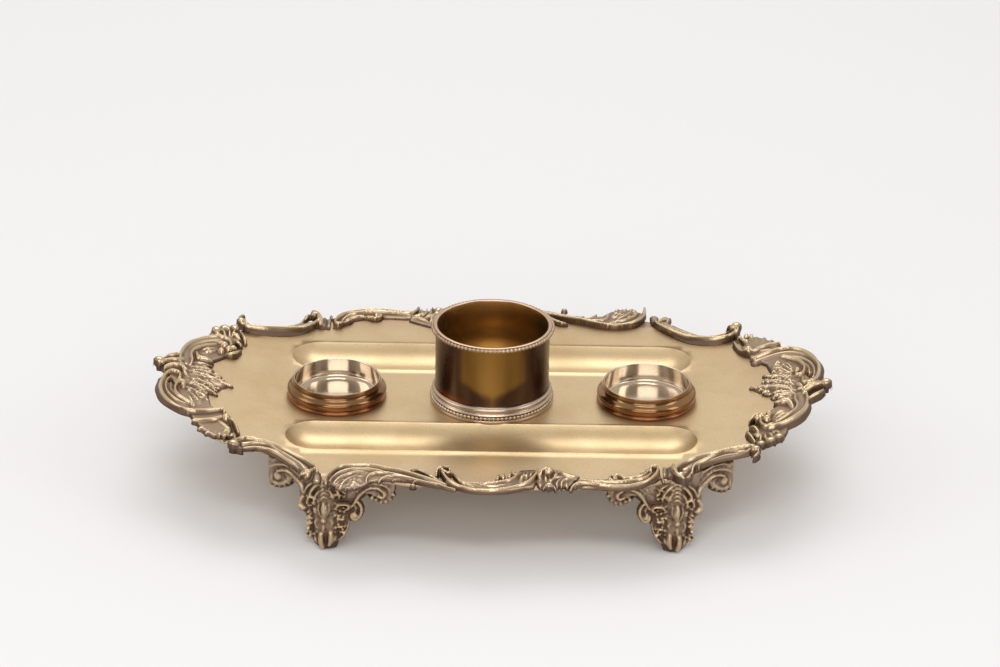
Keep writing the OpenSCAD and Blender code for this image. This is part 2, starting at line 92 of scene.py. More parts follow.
def curve(points, step):
    """A smooth curve through rows of numbers, cut every step along its first two."""
    p = np.asarray(points, float)
    if len(p) == 2:
        a = np.vstack([2 * p[0] - p[1], p, 2 * p[1] - p[0]])
    else:
        a = np.vstack([p[0], p, p[-1]])
    out = []
    for i in range(1, len(a) - 2):
        n = max(1, int(round(np.hypot(*(a[i + 1] - a[i])[:2]) / step)))
        t = np.arange(n)[:, None] / n
        b, c, d, e = a[i - 1], a[i], a[i + 1], a[i + 2]
        out.append(0.5 * (2 * c + (d - b) * t + (2 * b - 5 * c + 4 * d - e) * t**2
                          + (3 * c - b - 3 * d + e) * t**3))
    return np.vstack(out + [p[-1:]])


def blurred(field, mask, radius):
    """Field smoothed over radius cells, looking only at cells inside the mask."""
    n = int(math.ceil(radius * 2.5))
    weights = np.exp(-0.5 * (np.arange(-n, n + 1) / radius) ** 2)
    value, share = field * mask, mask.astype(float)
    for axis in (0, 1):
        pad = [(n, n) if k == axis else (0, 0) for k in (0, 1)]
        v, s = np.pad(value, pad), np.pad(share, pad)
        value, share = np.zeros_like(value), np.zeros_like(share)
        for k, w in enumerate(weights):
            cut = [slice(None), slice(None)]
            cut[axis] = slice(k, k + field.shape[axis])
            value += w * v[tuple(cut)]
            share += w * s[tuple(cut)]
    return np.where(share > 1e-6, value / np.maximum(share, 1e-6), field)


# Sections of a ridge, over -1 to 1 across it
def round_section(u):
    return np.sqrt(np.clip(1 - u**2, 0, None))


def soft_section(u):
    return np.clip(1 - u**2, 0, None)


def route(points, base=0.0):
    """The path of a ridge or a hollow through [x, y, height, half breadth] points."""
    path = curve([[*p, base] for p in points], PATH_STEP)
    path[:, 3] = np.maximum(path[:, 3], THINNEST)
    return path


def enclosed(ring, x, y):
    """Which spots lie inside a closed ring."""
    odd = np.zeros(np.shape(x), bool)
    for a, b in zip(ring, np.roll(ring, -1, 0)):
        if a[1] != b[1]:
            odd ^= ((a[1] > y) != (b[1] > y)) & (x < (b[0] - a[0]) * (y - a[1]) / (b[1] - a[1]) + a[0])
    return odd


class Relief:
    """A cast relief over a plan, as a top face, an underside and a contour."""

    def __init__(self, x0, x1, y0, y1, hang):
        self.hang = hang
        self.x = np.arange(x0, x1 + CELL, CELL)
        self.y = np.arange(y0, y1 + CELL, CELL)
        self.X, self.Y = np.meshgrid(self.x, self.y)
        self.top = np.full(self.X.shape, -20.0)
        self.low = np.full(self.X.shape, 20.0)
        self.rim = np.zeros(self.X.shape)
        self.cover = np.full(self.X.shape, -9.0)

    def window(self, lo, hi):
        """The block of cells between two corners."""
        j = [int(np.clip(math.floor((v - self.x[0]) / CELL) + k, 0, len(self.x)))
             for v, k in ((lo[0], 0), (hi[0], 2))]
        i = [int(np.clip(math.floor((v - self.y[0]) / CELL) + k, 0, len(self.y)))
             for v, k in ((lo[1], 0), (hi[1], 2))]
        return slice(i[0], i[1]), slice(j[0], j[1])

    def across(self, path):
        """Near a curve of [x, y, height, half breadth, base]: place across it, distance along
        it and its own three values, with the window of cells that they are for."""
        reach = path[:, 3].max() + MARGIN
        win = self.window(path[:, :2].min(0) - reach, path[:, :2].max(0) + reach)
        X, Y = self.X[win], self.Y[win]
        best = np.full(X.shape, 50.0)
        got = np.zeros(X.shape + (5,))
        run = 0.0
        for a, b in zip(path[:-1], path[1:]):
            d = b[:2] - a[:2]
            length = float(np.hypot(*d))
            if length < 1e-9:
                continue
            near = max(a[3], b[3]) + MARGIN
            sub = self.window(np.minimum(a[:2], b[:2]) - near, np.maximum(a[:2], b[:2]) + near)
            sub = tuple(slice(s.start - w.start, s.stop - w.start) for s, w in zip(sub, win))
            x, y = X[sub] - a[0], Y[sub] - a[1]
            t = np.clip((x * d[0] + y * d[1]) / length**2, 0, 1)
            ex, ey = x - t * d[0], y - t * d[1]
            v = a[2:5] + t[..., None] * (b[2:5] - a[2:5])
            q = np.hypot(ex, ey) / np.maximum(v[..., 1], 1e-3)
            side = np.where(d[0] * ey - d[1] * ex >= 0, 1.0, -1.0)
            closer = q < best[sub]
            best[sub] = np.where(closer, q, best[sub])
            new = np.concatenate([(q * side)[..., None], (run + t * length)[..., None], v], -1)
            got[sub] = np.where(closer[..., None], new, got[sub])
            run += length
        got[..., 0] = np.where(best > 40, 50.0, got[..., 0])
        return win, got

    def add(self, win, inside, top, low, rim, cover):
        """Joins a form to the relief: the higher top, the lower underside, the nearer contour."""
        self.top[win] = np.where(inside, np.maximum(self.top[win], top), self.top[win])
        self.low[win] = np.where(inside, np.minimum(self.low[win], low), self.low[win])
        self.rim[win] = np.where(cover > self.cover[win], rim, self.rim[win])
        self.cover[win] = np.maximum(self.cover[win], cover)

    def ridge(self, points, section=round_section, base=0.0):
        """A ridge along [x, y, height, half breadth] points."""
        win, g = self.across(route(points, base))
        u, height, breadth, floor = g[..., 0], g[..., 2], g[..., 3], g[..., 4]
        inside = np.abs(u) < 1
        top = floor + height * section(np.clip(u, -1, 1))
        low = floor - (floor + self.hang) * round_section(np.clip(u, -1, 1))
        self.add(win, inside, top, np.minimum(low, floor), floor, (1 - np.abs(u)) * breadth)

    def ball(self, x, y, radius, lift, squash=1.0):
        """A ball whose middle is lift above the plate."""
        win = self.window((x - radius - 2, y - radius - 2), (x + radius + 2, y + radius + 2))
        r = np.hypot(self.X[win] - x, self.Y[win] - y) / radius
        dome = radius * squash * round_section(np.clip(r, 0, 1))
        core = lift - (lift + self.hang) * (r < 0.4)
        self.add(win, r < 1, lift + dome, np.minimum(lift - dome, core),
                 np.full(r.shape, lift), (1 - r) * radius)

    def gully(self, points):
        """A hollow cut along [x, y, depth, half breadth] points."""
        win, g = self.across(route(points))
        self.top[win] -= g[..., 2] * soft_section(np.clip(g[..., 0], -1, 1))

    def sheet(self, outline, height, edge=0.8, base=0.0):
        """A plain web with rounded edges that fills an outline."""
        p = np.asarray(outline, float)
        win = self.window(p.min(0) - MARGIN, p.max(0) + MARGIN)
        X, Y = self.X[win], self.Y[win]
        dist = np.full(X.shape, 50.0)
        for a, b in zip(p, np.roll(p, -1, 0)):
            d = b - a
            t = np.clip(((X - a[0]) * d[0] + (Y - a[1]) * d[1]) / max(d @ d, 1e-9), 0, 1)
            dist = np.minimum(dist, np.hypot(X - a[0] - t * d[0], Y - a[1] - t * d[1]))
        signed = np.where(enclosed(p, X, Y), dist, -dist)
        u = 1 - np.clip(signed / edge, 0, 1)
        top = base + height * round_section(u)
        low = base - (base + self.hang) * round_section(u)
        self.add(win, signed > 0, top, np.minimum(low, base), np.full(X.shape, base), signed)

    def close_gaps(self):
        """Fills the slits and pinches that are too narrow for the grid to close cleanly."""
        inside = self.cover > 0
        for _ in range(30):
            q = inside[:-1, :-1] | inside[1:, :-1] | inside[:-1, 1:] | inside[1:, 1:]
            q = np.pad(q, 1)
            fill = np.zeros_like(inside)
            flat = ~inside[:, :-1] & ~inside[:, 1:] & q[:-1, 1:-1] & q[1:, 1:-1]
            fill[:, :-1] |= flat
            fill[:, 1:] |= flat
            tall = ~inside[:-1] & ~inside[1:] & q[1:-1, :-1] & q[1:-1, 1:]
            fill[:-1] |= tall
            fill[1:] |= tall
            ne, sw, nw, se = q[1:, 1:], q[:-1, :-1], q[1:, :-1], q[:-1, 1:]
            fill |= ~inside & ((ne & sw & ~nw & ~se) | (nw & se & ~ne & ~sw))
            if not fill.any():
                break
            inside |= fill
        fresh = inside & (self.cover <= 0)
        self.cover[fresh] = 0.05
        self.top[fresh] = self.rim[fresh] + 0.1
        self.low[fresh] = self.rim[fresh] - 0.3
        return inside

    def solid(self, name, place):
        """The closed mesh, with how far each spot stands over its surroundings."""
        inside = self.close_gaps()
        inside[[0, -1]] = False
        inside[:, [0, -1]] = False
        top = blurred(self.top, inside, SOFTEN)
        top = np.maximum(top, self.rim + 0.02)
        low = np.minimum(blurred(self.low, inside, SOFTEN), self.rim - 0.02)
        relief = top - blurred(top, inside, RELIEF_REACH / CELL)
        quad = inside[:-1, :-1] | inside[1:, :-1] | inside[:-1, 1:] | inside[1:, 1:]
        used = np.zeros_like(inside)
        for s in ((slice(None, -1), slice(None, -1)), (slice(1, None), slice(None, -1)),
                  (slice(None, -1), slice(1, None)), (slice(1, None), slice(1, None))):
            used[s] |= quad
        edge = used & ~inside
        X, Y = self.X.copy(), self.Y.copy()
        shift, count = np.zeros(X.shape + (2,)), np.zeros(X.shape)
        i, j = np.nonzero(edge)
        for di in (-1, 0, 1):
            for dj in (-1, 0, 1):
                a, b = np.clip(i + di, 0, X.shape[0] - 1), np.clip(j + dj, 0, X.shape[1] - 1)
                ok = inside[a, b]
                here, there = self.cover[i, j], np.maximum(self.cover[a, b], 0.02)
                f = np.clip(np.abs(here) / (np.abs(here) + there), 0.05, 0.85)
                shift[i[ok], j[ok]] += (f[ok, None] * CELL) * np.array([dj, di])
                count[i[ok], j[ok]] += 1
        shift /= np.maximum(count, 1)[..., None]
        X += shift[..., 0]
        Y += shift[..., 1]
        n_edge, n_in = int(edge.sum()), int(inside.sum())
        upper = np.full(X.shape, -1)
        lower = np.full(X.shape, -1)
        upper[edge] = lower[edge] = np.arange(n_edge)
        upper[inside] = n_edge + np.arange(n_in)
        lower[inside] = n_edge + n_in + np.arange(n_in)
        verts = np.vstack([np.column_stack([X[m], Y[m], z[m]])
                           for m, z in ((edge, self.rim), (inside, top), (inside, low))])
        # The contour and the underside count as deep hollows, so they take the dark colour: painted shade
        # under the casting's edges.
        worn = np.concatenate([np.full(n_edge, -0.4), relief[inside], np.full(n_in, -1.0)])
        qi, qj = np.nonzero(quad)
        corner = [(qi, qj), (qi, qj + 1), (qi + 1, qj + 1), (qi + 1, qj)]
        faces_up = np.column_stack([upper[c] for c in corner])
        faces_down = np.column_stack([lower[c] for c in corner[::-1]])
        return mesh_object(name, place(verts), [faces_up, faces_down], worn)


def copy_of(piece, name):
    """The piece again, turned half a turn round the middle of the tray."""
    mesh = piece.data.copy()
    mesh.transform(Matrix.Rotation(math.pi, 4, "Z"))
    twin = bpy.data.objects.new(name, mesh)
    bpy.context.scene.collection.objects.link(twin)
    return twin


def on_plate(verts):
    """From the plan to the swept plate."""
    out = verts.copy()
    out[:, 2] += TRAY_TOP + rise(verts[:, 0])
    return out


# Camera

CAM_TURN, CAM_PITCH, CAM_ROLL, CAM_AWAY = -0.0077451, 0.4399307, 0.0192839, 2121.8
CAM_AIM = np.array([3.30, 0.0, 68.45])
FOCAL_PIXELS, PICTURE = 4661.92, (1000, 667)


def camera_axes():
    """The camera's right, up and backward directions."""
    back = np.array([math.sin(CAM_TURN) * math.cos(CAM_PITCH),
                     -math.cos(CAM_TURN) * math.cos(CAM_PITCH), math.sin(CAM_PITCH)])
    right = np.array([math.cos(CAM_TURN), math.sin(CAM_TURN), 0.0])
    up = np.cross(back, right)
    c, s = math.cos(CAM_ROLL), math.sin(CAM_ROLL)
    return c * right + s * up, -s * right + c * up, back


CAM_RIGHT, CAM_UP, CAM_BACK = camera_axes()
CAM_PLACE = CAM_AIM + CAM_BACK * CAM_AWAY


def on_border(px, py, height):
    """Where in the plan a spot stands that is height over the plate and seen at this pixel."""
    ray = (CAM_RIGHT * (px - PICTURE[0] / 2) + CAM_UP * (PICTURE[1] / 2 - py)) / FOCAL_PIXELS - CAM_BACK
    x = (px - PICTURE[0] / 2) / 2.2
    for _ in range(6):
        level = TRAY_TOP + float(rise(np.float64(x))) + height
        t = (level - CAM_PLACE[2]) / ray[2]
        x, y = (CAM_PLACE + t * ray)[:2]
    return [float(x), float(y)]


def to_picture(x, y, z):
    """The pixel at which a spot is seen."""
    d = np.stack(np.broadcast_arrays(x, y, z), -1) - CAM_PLACE
    away = -(d @ CAM_BACK)
    return (PICTURE[0] / 2 + FOCAL_PIXELS * (d @ CAM_RIGHT) / away,
            PICTURE[1] / 2 - FOCAL_PIXELS * (d @ CAM_UP) / away)


def tapered(points, height, breadth, ends=0.5):
    """Adds a height and a half breadth to [x, y] or [x, y, height] points, less at both ends."""
    n = max(len(points) - 1, 1)
    full = [1 - (1 - ends) * abs(2 * k / n - 1) ** 3 for k in range(n + 1)]
    return [[*p[:2], (p[2] if len(p) > 2 else height) * (0.55 + 0.45 * t), breadth * t]
            for p, t in zip(points, full)]


def stroke(relief, points, height, breadth, section=round_section, ends=0.5):
    """A ridge through the pixels where its top is seen."""
    rows = tapered(points, height, breadth, ends)
    relief.ridge([[*on_border(*p[:3]), p[2], p[3]] for p in rows], section)


def groove(relief, points, height, depth, breadth):
    """A hollow through the pixels where it is seen, cut into metal of this height."""
    rows = tapered(points, depth, breadth, 0.4)
    relief.gully([[*on_border(p[0], p[1], height), p[2], p[3]] for p in rows])


def web(relief, points, height):
    """A plain sheet inside the pixels of its contour."""
    relief.sheet([on_border(px, py, 0.0) for px, py in points], height)


def lumps(relief, seed, count, inside, lean, height, breadth):
    """Small strands of a worn leaf, strewn over the pixels inside a contour."""
    rng = np.random.default_rng(seed)
    p = np.asarray(inside, float)
    while count:
        x, y = rng.uniform(p.min(0), p.max(0))
        if not enclosed(p, x, y):
            continue
        turn, reach = math.radians(lean + rng.uniform(-28, 28)), rng.uniform(1.6, 3.4)
        dx, dy = reach * math.cos(turn), reach * math.sin(turn) * 0.5
        level = height * rng.uniform(0.75, 1.15)
        stroke(relief, [(x - dx, y - dy), (x, y - rng.uniform(-0.5, 0.8)), (x + dx, y + dy)], level,
               breadth * rng.uniform(0.7, 1.2), ends=0.6)
        count -= 1


def knob(relief, px, py, radius, lift, squash=1.0):
    """A ball whose middle is seen at this pixel."""
    x, y = on_border(px, py, lift)
    relief.ball(x, y, radius, lift, squash)


# Border

HANG = 0.4  # how far the border's castings reach below the plate's top


def front_left_corner():
    """A corner scroll: a rolled volute, three crests over a channelled body, and a curled end."""
    r = Relief(-126, -74, -96, -48, hang=HANG)
    stroke(r, [(244, 442), (254, 441.6), (265, 443.6), (275, 447.8), (285, 453), (294, 458.6),
               (302, 464), (307, 469)], 2.5, 4.0, soft_section, 0.75)
    stroke(r, [(241, 446.6), (236.4, 444.6), (234.6, 441.2), (237, 437.6), (242.3, 435.6), (249, 435.6),
               (257.2, 437), (266.6, 439.7), (276.1, 443), (285.6, 447), (295, 451.8), (303.1, 455.8),
               (309.9, 459.9), (315.2, 463.8), (317, 467)], 4.1, 1.0, ends=0.8)
    stroke(r, [(247, 441.4), (255.8, 441.2), (266.6, 442.9), (276.1, 447.3), (285.6, 452.7),
               (293.7, 457.5), (300.4, 462.2), (303.4, 466.5)], 3.2, 0.9)
    stroke(r, [(240.5, 448), (246.3, 446.5), (257.2, 445.8), (268, 447.8), (276.1, 451.6),
               (284.2, 457), (292.3, 462.6), (298, 468)], 2.2, 1.1)
    groove(r, [(243, 443.5), (252, 443), (262, 443.6), (272, 446.8), (281, 451.6)], 2.6, 0.8, 0.6)
    stroke(r, [(302.5, 473), (305.5, 470.4), (310.5, 468.6), (316, 465.8)], 3.4, 1.1)
    stroke(r, [(299.5, 475), (302, 471.5), (305, 468.4)], 2.6, 1.2)
    stroke(r, [(305, 476.5), (307.6, 474), (311, 471.6)], 2.4, 1.3)
    knob(r, 233.6, 445.6, 2.9, 2.6, 0.95)
    stroke(r, [(230.4, 443), (231.6, 439.6), (234.6, 437.4)], 4.2, 1.0, ends=0.6)
    for px, py in ((248.5, 448.6), (262, 449.6), (273.5, 454.4), (282, 459.6), (290.5, 465.6)):
        stroke(r, [(px + 3.5, py), (px - 1.5, py - 2.4)], 1.5, 1.4)
    stroke(r, [(316.5, 480), (316.2, 472.5)], 1.4, 2.6, soft_section, 0.8)
    return r


def front_right_corner():
    """The other corner scroll, with a wider channel and a tall flared end."""
    r = Relief(76, 127, -96, -48, hang=HANG)
    stroke(r, [(748, 449), (736, 450.5), (724, 452.4), (712, 455.4), (701, 459.4), (692, 463.5),
               (685, 468)], 2.5, 4.2, soft_section, 0.75)
    stroke(r, [(754.6, 454.4), (758, 451.4), (758, 447), (755, 444.4), (749, 443.4), (741, 444.6),
               (730, 446.6), (718, 449.6), (705, 452.8), (693, 456.2), (684, 460), (678.4, 463.6),
               (676.4, 467), (678, 471)], 4.2, 1.05, ends=0.8)
    stroke(r, [(741, 447.6), (731, 449.3), (721, 451.6), (711, 455), (702.5, 458.6), (696, 462),
               (693, 466), (692, 471)], 3.3, 1.05)
    stroke(r, [(744, 452.4), (734, 452), (722, 454), (710, 458), (701, 462.4), (698.6, 467.5)], 2.2, 1.1)
    groove(r, [(738, 450.8), (728, 451.4), (718, 454), (708, 458)], 2.9, 0.8, 0.6)
    stroke(r, [(673.6, 463), (674.4, 468), (678, 472.6), (683.4, 476)], 4.2, 1.6, ends=0.8)
    knob(r, 681.2, 475.4, 1.7, 2.6)
    stroke(r, [(684, 479), (688.6, 476), (691, 472)], 2.4, 1.4)
    knob(r, 755.6, 450.4, 2.4, 2.4, 0.95)
    stroke(r, [(746, 450), (749.5, 447.4), (753, 448.6), (752.4, 452)], 3.6, 0.9)
    for px, py in ((743, 454.2), (731, 454.8), (719, 457), (708, 461.4), (701, 467)):
        stroke(r, [(px - 3.5, py), (px + 1.5, py - 2.4)], 1.5, 1.4)
    stroke(r, [(664.4, 474), (664.6, 467)], 1.9, 1.9, soft_section, 0.8)
    stroke(r, [(670, 475), (669.6, 466.5)], 2.2, 1.7, soft_section, 0.8)
    return r


def leaf_scroll_relief():
    """The leaf scroll: one long rolled crest with leaf curls that come out from under it."""
    r = Relief(-80, -14, -104, -64, hang=HANG)
    web(r, [(326, 486), (328, 478), (338, 472), (352, 469.6), (368, 470), (384, 472.6), (404, 477),
            (424, 482), (447, 485), (446, 488.4), (432, 486), (418, 484), (404, 482.4), (388, 481.6),
            (372, 483.4), (362, 488.6), (350, 490.6), (338, 489.4)], 1.1)
    stroke(r, [(325.8, 482), (326.6, 475.4), (330, 470.5), (335.6, 466), (343.7, 463.2), (354.5, 461.8),
               (366.7, 462), (378.9, 463.7), (391, 466.4), (403.2, 469.2, 3.8), (415.4, 472.6, 3.6),
               (427.5, 476.4, 3.4), (438.4, 480.2, 3.0), (446, 483.4, 2.4)], 4.0, 1.0, ends=0.75)
    stroke(r, [(330, 480), (333, 475.4), (339, 471.2), (348.5, 468), (360, 466.8), (372, 467.8),
               (385, 470.6), (398, 473.8), (412, 477.2), (426, 480.8), (436, 483.2)], 2.4, 1.7,
           soft_section, 0.7)
    groove(r, [(332, 474), (340, 467.6), (352, 464.8), (366, 465), (380, 467), (394, 470)], 2.6, 0.8, 0.6)
    stroke(r, [(333.4, 482), (338.6, 476.4), (347.8, 472), (357.2, 469.8), (366, 470)], 2.7, 0.65)
    stroke(r, [(341, 484.6), (344.6, 479.6), (351, 476), (358.6, 473.6)], 2.3, 0.8)
    stroke(r, [(350.4, 485), (353.6, 480.6), (359, 477.6)], 2.0, 0.8)
    stroke(r, [(366.2, 481), (366.8, 476.6), (370.4, 472.8), (377.5, 470.8), (387, 471.4),
               (396.4, 472.8), (408.6, 475.6), (419, 478.6)], 2.6, 0.85)
    stroke(r, [(378.6, 480.6), (382.6, 476.6), (389.7, 474.4), (400.5, 476), (410, 479.4)], 2.2, 0.8)
    stroke(r, [(392, 479.8), (397, 478), (405, 480)], 1.7, 0.8)
    stroke(r, [(413.4, 484.4), (413.6, 481.4), (416, 480), (421, 479.6), (430, 481), (438.4, 483.2),
               (446, 485.6), (455, 488)], 2.0, 0.7, ends=0.8)
    stroke(r, [(418, 482.6), (428, 483.6), (438, 485.2), (450, 487.2)], 1.2, 1.2)
    knob(r, 413, 487, 1.5, 0.9)
    stroke(r, [(411, 468.6), (418.5, 468.2), (425, 470.8), (431, 474.4), (438, 478.6)], 2.9, 0.8)
    groove(r, [(409, 471), (418, 470.6), (425, 473.4), (432, 477)], 2.6, 1.1, 0.6)
    lumps(r, 3, 60, [(334, 486), (338, 479), (346, 475), (360, 473), (364, 480), (358, 487), (346, 489)],
          -35, 1.8, 0.5)
    return r


def centre_relief():
    """The centre scroll: a wide C with a hooked end, an inner rib and a cluster of small leaves."""
    r = Relief(-30, 26, -104, -66, hang=HANG)
    web(r, [(439, 474), (444, 478), (452, 484), (462, 486), (480, 483.4), (500, 482.6), (516, 478),
            (520, 472), (536, 471), (538, 480), (534, 489.4), (520, 491.6), (505, 493), (490, 493.4),
            (475, 493), (463, 490.8), (452, 487.2), (443, 482)], 1.1)
    stroke(r, [(446, 481.6), (455, 485.6), (465, 488.4), (476, 490), (490, 490.5), (504, 490),
               (517, 488.4), (529, 485.6)], 1.5, 1.3, soft_section, 0.8)
    stroke(r, [(449.4, 466.6), (450.2, 469.6), (447.6, 470.2), (444.4, 468.8), (443, 466),
               (445.2, 464.2), (448.6, 464.8)], 3.7, 0.6, ends=0.9)
    stroke(r, [(436, 474, 3.2), (437.4, 468, 3.8), (440.6, 465.2, 4), (442.6, 470, 3.9), (446.4, 475.4, 3.5),
               (451, 479.6, 3.2), (456, 482.6, 2.9), (462, 485.2, 2.7), (470, 487.2, 2.5), (480, 488.2, 2.4),
               (490, 488.1, 2.4), (500, 487.5, 2.4), (510, 486, 2.5), (518, 484, 2.7), (525, 481.4, 2.9),
               (530, 478.2, 3.2), (533.6, 474.6, 3.5), (536.4, 470.6, 3.8), (537.4, 467.6, 3.9)],
           3.0, 0.85, ends=0.85)
    stroke(r, [(452.6, 471.4), (455.4, 475), (460, 478.6), (466, 481.8), (473, 484.2)], 2.6, 0.65)
    stroke(r, [(470, 480.8), (480, 481.2), (491, 480.7), (500, 479.8), (508, 478.2), (513, 475.8),
               (517, 472.6), (519.4, 470.4)], 2.9, 0.6)
    stroke(r, [(476, 482.6), (485, 484.2), (494, 484.6), (503, 483.6), (510, 482)], 2.3, 0.65)
    stroke(r, [(449, 485.8), (458, 488.8), (468, 490.8), (479, 491.8), (491, 492.1), (504, 491.6),
               (517, 490.2), (530, 487.6)], 0.8, 0.7)
    for x0, y0, x1, y1, breadth in ((497, 478, 499.4, 473.6, 0.8), (503, 477.4, 504.6, 472.6, 0.9),
                                    (509, 476, 511.6, 471, 0.9), (515, 474.6, 515.6, 470.4, 0.8),
                                    (521, 479.4, 523.6, 471.8, 1.1), (526.6, 478, 527.4, 471, 1.0),
                                    (531, 476, 531.6, 470.6, 0.9), (522.6, 475, 528, 473.4, 0.7)):
        stroke(r, [(x0, y0), ((x0 + x1) / 2 - 0.6, (y0 + y1) / 2), (x1, y1)], 2.7, breadth)
    return r


def bud_relief():
    """The bud spray: a round bud between petals on a drop-shaped stem, with bent blades beside it."""
    r = Relief(16, 44, -104, -66, hang=HANG)
    web(r, [(536, 478), (542, 472), (556, 471), (570, 475), (580, 478), (574, 484), (569, 489.4),
            (556, 488.6), (540, 488.6), (535, 484)], 1.1)
    for path, height, breadth in (
            ([(537.4, 468), (538.8, 473), (541, 477.6)], 3.2, 1.0),
            ([(541.4, 474.4), (541.6, 469.4), (545.4, 466.4), (550.6, 466.8), (555.2, 470)], 3.8, 0.75),
            ([(556.8, 469.4), (555.4, 473.6), (553, 477)], 3.0, 1.0),
            ([(544.4, 471), (545.6, 476), (546, 481)], 2.6, 0.9),
            ([(549.8, 475), (549.6, 479), (549, 483)], 2.8, 0.9),
            ([(543.4, 488.6), (545.4, 484.6), (548.4, 482.8)], 1.9, 0.9),
            ([(556, 489.6), (553.8, 485.4), (551, 482.8)], 1.9, 0.8),
            ([(538.4, 479), (539.8, 483), (540.6, 487)], 1.6, 1.3),
            ([(550.8, 486), (551, 480.4), (553.4, 476.8), (558, 475.2), (563.6, 475.2)], 2.9, 0.65),
            ([(557.4, 486.6), (556.8, 482), (559, 478.8), (563, 477.2)], 2.2, 0.75),
            ([(561.4, 486), (561.8, 480.4), (565, 477.4), (570.6, 476.6), (577, 477.4)], 2.8, 0.65),
            ([(567.4, 487.4), (566.2, 483.6), (567.6, 480)], 1.8, 1.1),
            ([(557.6, 469.8), (563.6, 471.8), (571, 474), (579, 475.4)], 2.6, 0.6),
            ([(560, 473), (566, 474.6), (573, 475.8)], 2.3, 0.6)):
        stroke(r, path, height, breadth)
    knob(r, 548.8, 471.6, 2.1, 2.4)
    knob(r, 548.8, 487.4, 2.3, 0.6)
    return r


def ribbon_relief():
    """The ribbon scroll: a broad low wave that rises into a hooked loop, with a knobbed curl."""
    r = Relief(28, 82, -104, -64, hang=HANG)
    web(r, [(572, 488), (578, 480), (600, 481), (624, 481), (644, 477), (654, 470), (660, 470),
            (660, 480), (655, 483.4), (640, 487), (620, 489), (600, 489), (584, 489.6)], 1.1)
    stroke(r, [(600, 485.6), (612, 486.4), (624, 486.4), (636, 484.6), (646, 481.4), (653, 477)],
           1.6, 1.7, soft_section, 0.8)
    stroke(r, [(570.6, 489.4, 1.8), (572.6, 485, 2.1), (577, 481.8, 2.4), (584, 480.8, 2.6),
               (594, 481.8, 2.6), (604, 483.2, 2.5), (615, 484.2, 2.4), (627, 484, 2.4),
               (638, 482.2, 2.5), (647, 479.2, 2.8), (653.4, 474.8, 3.2), (657.2, 469.6, 3.6),
               (657.8, 465.6, 3.8), (654.8, 463.4, 3.8), (651.4, 465, 3.6), (651, 468, 3.4)],
           3, 0.9, ends=0.85)
    stroke(r, [(579, 477.6), (590, 478.8), (603, 479.7), (616, 479.9), (628, 479.1), (639, 477.4),
               (647, 474.4), (652, 470.4)], 3.1, 0.8)
    groove(r, [(578, 486), (586, 484.4), (596, 485.4)], 1.4, 0.9, 1.0)
    stroke(r, [(613, 477.8), (609.6, 476.4), (611, 473.8), (616, 472.6), (621, 473.6), (624.6, 475.4)],
           3.0, 0.6, ends=0.8)
    knob(r, 615, 476.4, 1.1, 2.4)
    stroke(r, [(624, 475.8), (632, 475.6), (640, 473.8), (646, 471.2), (650, 468.2)], 2.8, 0.6)
    stroke(r, [(640, 472.6), (643.6, 469.8), (648.6, 468.4)], 2.9, 0.75)
    stroke(r, [(584, 487), (596, 487.8), (610, 488.4), (624, 488), (638, 486.2), (649, 483),
               (656.4, 478.4)], 0.8, 0.7)
    for px, py in ((575.6, 487), (660, 477.4), (663.6, 481)):
        stroke(r, [(px, py), (px - 1, py - 3)], 1.5, 1.4)
    return r


